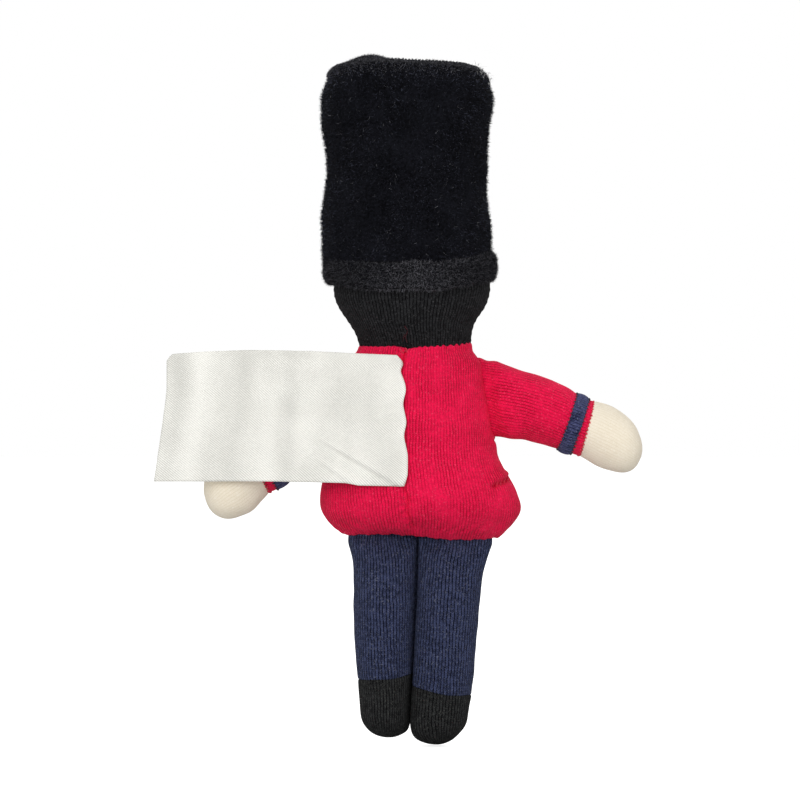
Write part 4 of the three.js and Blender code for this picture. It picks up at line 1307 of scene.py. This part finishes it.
neck_holes = [((2.6 - 0.42 * i, 88.9 - 0.22 * i), (1.9 - 0.40 * i, 87.6 - 0.16 * i)) for i in range(3)]
neck_marks = row_on(tunic, neck_holes + [((3.2, 88.4), (2.5, 87.2)), ((1.2, 88.9), (2.2, 88.0))], lift=0.05)
collar_stitches = stitches("collar_stitches", neck_marks, 0.38, red_thread, arch=0.1)
head_marks = row_on(head_back, [((1.6, 89.6), (2.0, 90.9)), ((2.1, 90.8), (1.5, 92.2)),
                                ((1.5, 92.4), (2.2, 93.4)), ((2.6, 89.8), (2.2, 91.6))])
head_stitches = stitches("neck_knot", head_marks, 0.14, faint_thread, arch=0.02)
tuck_marks = row_on(tunic, [((-18.3 - 0.9 * i, 57.5 + 0.36 * i), (-18.6 - 0.9 * i, 58.5 + 0.36 * i))
                            for i in range(4)])
tuck_stitches = stitches("tuck_stitches", tuck_marks, 0.24, red_thread, arch=0.02)


def ring_marks(ribs, s, count, slant, half, out):
    """Stitches across a seam that runs round a limb. They are sewn by hand, so their lengths differ."""
    rng = np.random.default_rng(count)
    before, after = (ring(rib, 0, count * 4, -math.pi / 2, out=out)[0]
                     for rib in eased(ribs, [s - half, s + half]))
    middle = before.mean(0)
    marks = []
    for i in range(count):
        a, b = before[4 * i], after[(4 * i + slant) % (count * 4)]
        a, b = a + (b - a) * rng.uniform(0, 0.3), b + (a - b) * rng.uniform(0, 0.3)
        marks.append((a, b, (a + b) / 2 - middle))
    return marks


for side, arm in arms.items():
    ribs = arm["ribs"]
    end = ribs[-1][0]
    marks = ring_marks(ribs, end - 4.6, 40, 1, 0.3, 0.33) + ring_marks(ribs, end - 1.5, 36, -1, 0.32, 0.33)
    arm["cuff_stitches"] = stitches(f"{side}_cuff_stitches", marks, 0.26, dark_thread, arch=0.06)
    marks = ring_marks(ribs, end - 0.05, 44, 2, 0.38, 0.0)
    arm["wrist_stitches"] = stitches(f"{side}_wrist_stitches", marks, 0.36, red_thread, arch=0.10)
print("seam stitches ready")

# %% [markdown]
# ## Face and buttons
# The photograph shows only the back. The front gets what such a doll needs and no more. Two small
# dark eyes and four gold buttons are in satin stitch, threads laid side by side, and a short row of
# stitches is the mouth.

# %% Face and buttons


def satin(name, piece, centre, size, count, thick, material, upright_threads=True, arch=0.3):
    """An oval of threads side by side, on the front."""
    holes = []
    for i in range(count):
        t = -1 + (2 * i + 1) / count
        reach = math.sqrt(max(0.05, 1 - t * t))
        ends = ((t, -reach), (t, reach)) if upright_threads else ((-reach, t), (reach, t))
        holes.append([(centre[0] + a * size[0] / 2, centre[1] + b * size[1] / 2) for a, b in ends])
    return stitches(name, row_on(piece, holes, behind=False), thick, material, arch)


left_eye, right_eye = (satin(f"{side}_eye_stitches", face, (x, 98.2), (2.1, 2.3), 8, 0.33, dark_thread)
                       for side, x in (("left", 4.9), ("right", -4.7)))
smile = lambda x: (x, 94.2 - 1.2 * (1 - (x / 2.6) ** 2))
lip_holes = [(smile(-2.5 + 5 * i / 6), smile(-2.5 + 5 * i / 6 + 0.95)) for i in range(6)]
mouth = stitches("mouth_stitches", row_on(face, lip_holes, behind=False), 0.36, lip_thread)
buttons = [satin(f"button_knot_{i + 1}", tunic, (0, 81.3 - 8 * i), (2.8, 2.8), 9, 0.52, gold_thread,
                 i % 2 == 0, 0.36) for i in range(4)]
print("face and buttons ready")

# %% [markdown]
# ## Stuffing
# Polyester fibre fills every cover. Nothing of it shows, but it is there: a lumpy white form inside
# each cover, a little smaller than the cloth round it.

# %% Stuffing
wadding, tree, shader = new_material("wadding")
strands = cloudy(tree, object_place(tree), 900, 5.0)
setting(tree, shader, Base_Color=two_colours(tree, strands, (0.72, 0.71, 0.68), (0.93, 0.92, 0.90)),
        Roughness=0.95, Sheen_Weight=0.3, Normal=bumped(tree, strands, 0.0005))


def stuffing(name, ribs, less, low, high, ends, seed):
    """The form inside a cover: its ribs, smaller by `less`, between two places."""
    smaller = []
    for s in np.linspace(low, high, 9):
        x1, z1, x2, z2, back, front = eased(ribs, [s])[0]
        one, other = np.array([x1, z1]), np.array([x2, z2])
        across = (one - other) / np.linalg.norm(one - other)
        one, other = one - across * less, other + across * less
        smaller.append((s, *one, *other, back - less, front - less))
    piece = tube(name, smaller, 40, 2.0, ends, wales=40, course=1)
    sculpt(piece, lambda p, n: p + n * (0.35 * lumps(p, 5, seed) - 0.2)[:, None])
    piece.data.materials.append(wadding)
    return piece


torso_filling = stuffing("torso_filling", tunic_ribs, 1.6, 48.0, 79.5, (5, 3), 61)
head_filling = stuffing("head_filling", head_ribs, 1.9, 92.5, 114.5, (3, 7), 62)
hat_filling = stuffing("hat_filling", crown_ribs, 1.8, 119.5, 149.3, (6, 3), 63)
arm_filling = {side: stuffing(f"{side}_arm_filling", arm["ribs"], 1.3,
                              6.4, arm["ribs"][-1][0] - 1, (2, 2), 64)
               for side, arm in arms.items()}
leg_filling = {"left": stuffing("left_leg_filling", left_trouser_ribs, 1.3, 14.5, 39.6, (2, 2.0), 66),
               "right": stuffing("right_leg_filling", right_trouser_ribs, 1.3, 12.5, 38.2, (2, 2.6), 67)}
print("stuffing ready")

# %% [markdown]
# ## What moves with what
# Each piece rides on its body. Covers that are sewn across a joint, the top of a trouser leg, the root of a
# sleeve, the neck of the head and the sewn edge of the label, are given the two bodies and the places of
# their bend, but nothing here makes them bend: their transform is only baked into their points, and they ride
# on no body.

# %% Riding on bodies


def dress(piece, body, node=None):
    """body is one body's name, which the piece rides on, or a tuple of two names and the places where a bend
    would start and end. For a tuple, only the piece's transform is baked into its points.
    """
    if node:
        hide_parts(node)
    if isinstance(body, tuple):
        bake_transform(piece)
    else:
        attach(piece, body)


neck = ("torso", "head", at(0, 0, 88.6), at(0, 0, 96.0))
dress(tunic, "torso", "tunic")
dress(head_back, neck, "head_back")
dress(face, neck, "face")
dress(crown, "head", "hat_crown")
dress(panel, "head", "hat_top")
dress(brim, "head", "hat_brim")
for part in hat_piles + [rim]:
    dress(part, "head")
dress(left_eye, "head", "left_eye")
dress(right_eye, "head", "right_eye")
dress(mouth, neck, "mouth")
dress(head_stitches, neck)
for number, knot in enumerate(buttons, 1):
    dress(knot, "torso", f"button_{number}")
dress(collar_stitches, "torso")
dress(tuck_stitches, "torso")
dress(torso_filling, "torso", "torso_stuffing")
dress(head_filling, neck, "head_stuffing")
dress(hat_filling, "head", "hat_stuffing")
for side, hip_x in (("left", 7.5), ("right", -7.5)):
    arm, arm_body, leg_body = arms[side], f"{side}_arm", f"{side}_leg"
    root, past = (at((x1 + x2) / 2, 0, (z1 + z2) / 2)
                  for x1, z1, x2, z2, *_ in eased(arm["ribs"], [2.2, 9.2]))
    hip = ("torso", leg_body, at(hip_x, 0, 45.0), at(hip_x, 0, 38.5))
    dress(arm["sleeve"], ("torso", arm_body, root, past), f"{side}_sleeve")
    dress(arm["band"], arm_body, f"{side}_cuff_band")
    dress(arm["hand"], arm_body, f"{side}_hand")
    dress(arm["cuff_stitches"], arm_body)
    dress(arm["wrist_stitches"], arm_body)
    dress(arm_filling[side], arm_body, f"{side}_arm_stuffing")
    dress(legs[f"{side}_trousers"], hip, f"{side}_trouser_leg")
    dress(legs[f"{side}_boot_cover"], leg_body, f"{side}_boot")
    dress(leg_filling[side], leg_body, f"{side}_leg_stuffing")
dress(label, ("torso", "label", at(2.9, 0, 72.5), at(5.3, 0, 72.33)), "care_label")

# %% Sizes and the end
low, high = CAD_BOX
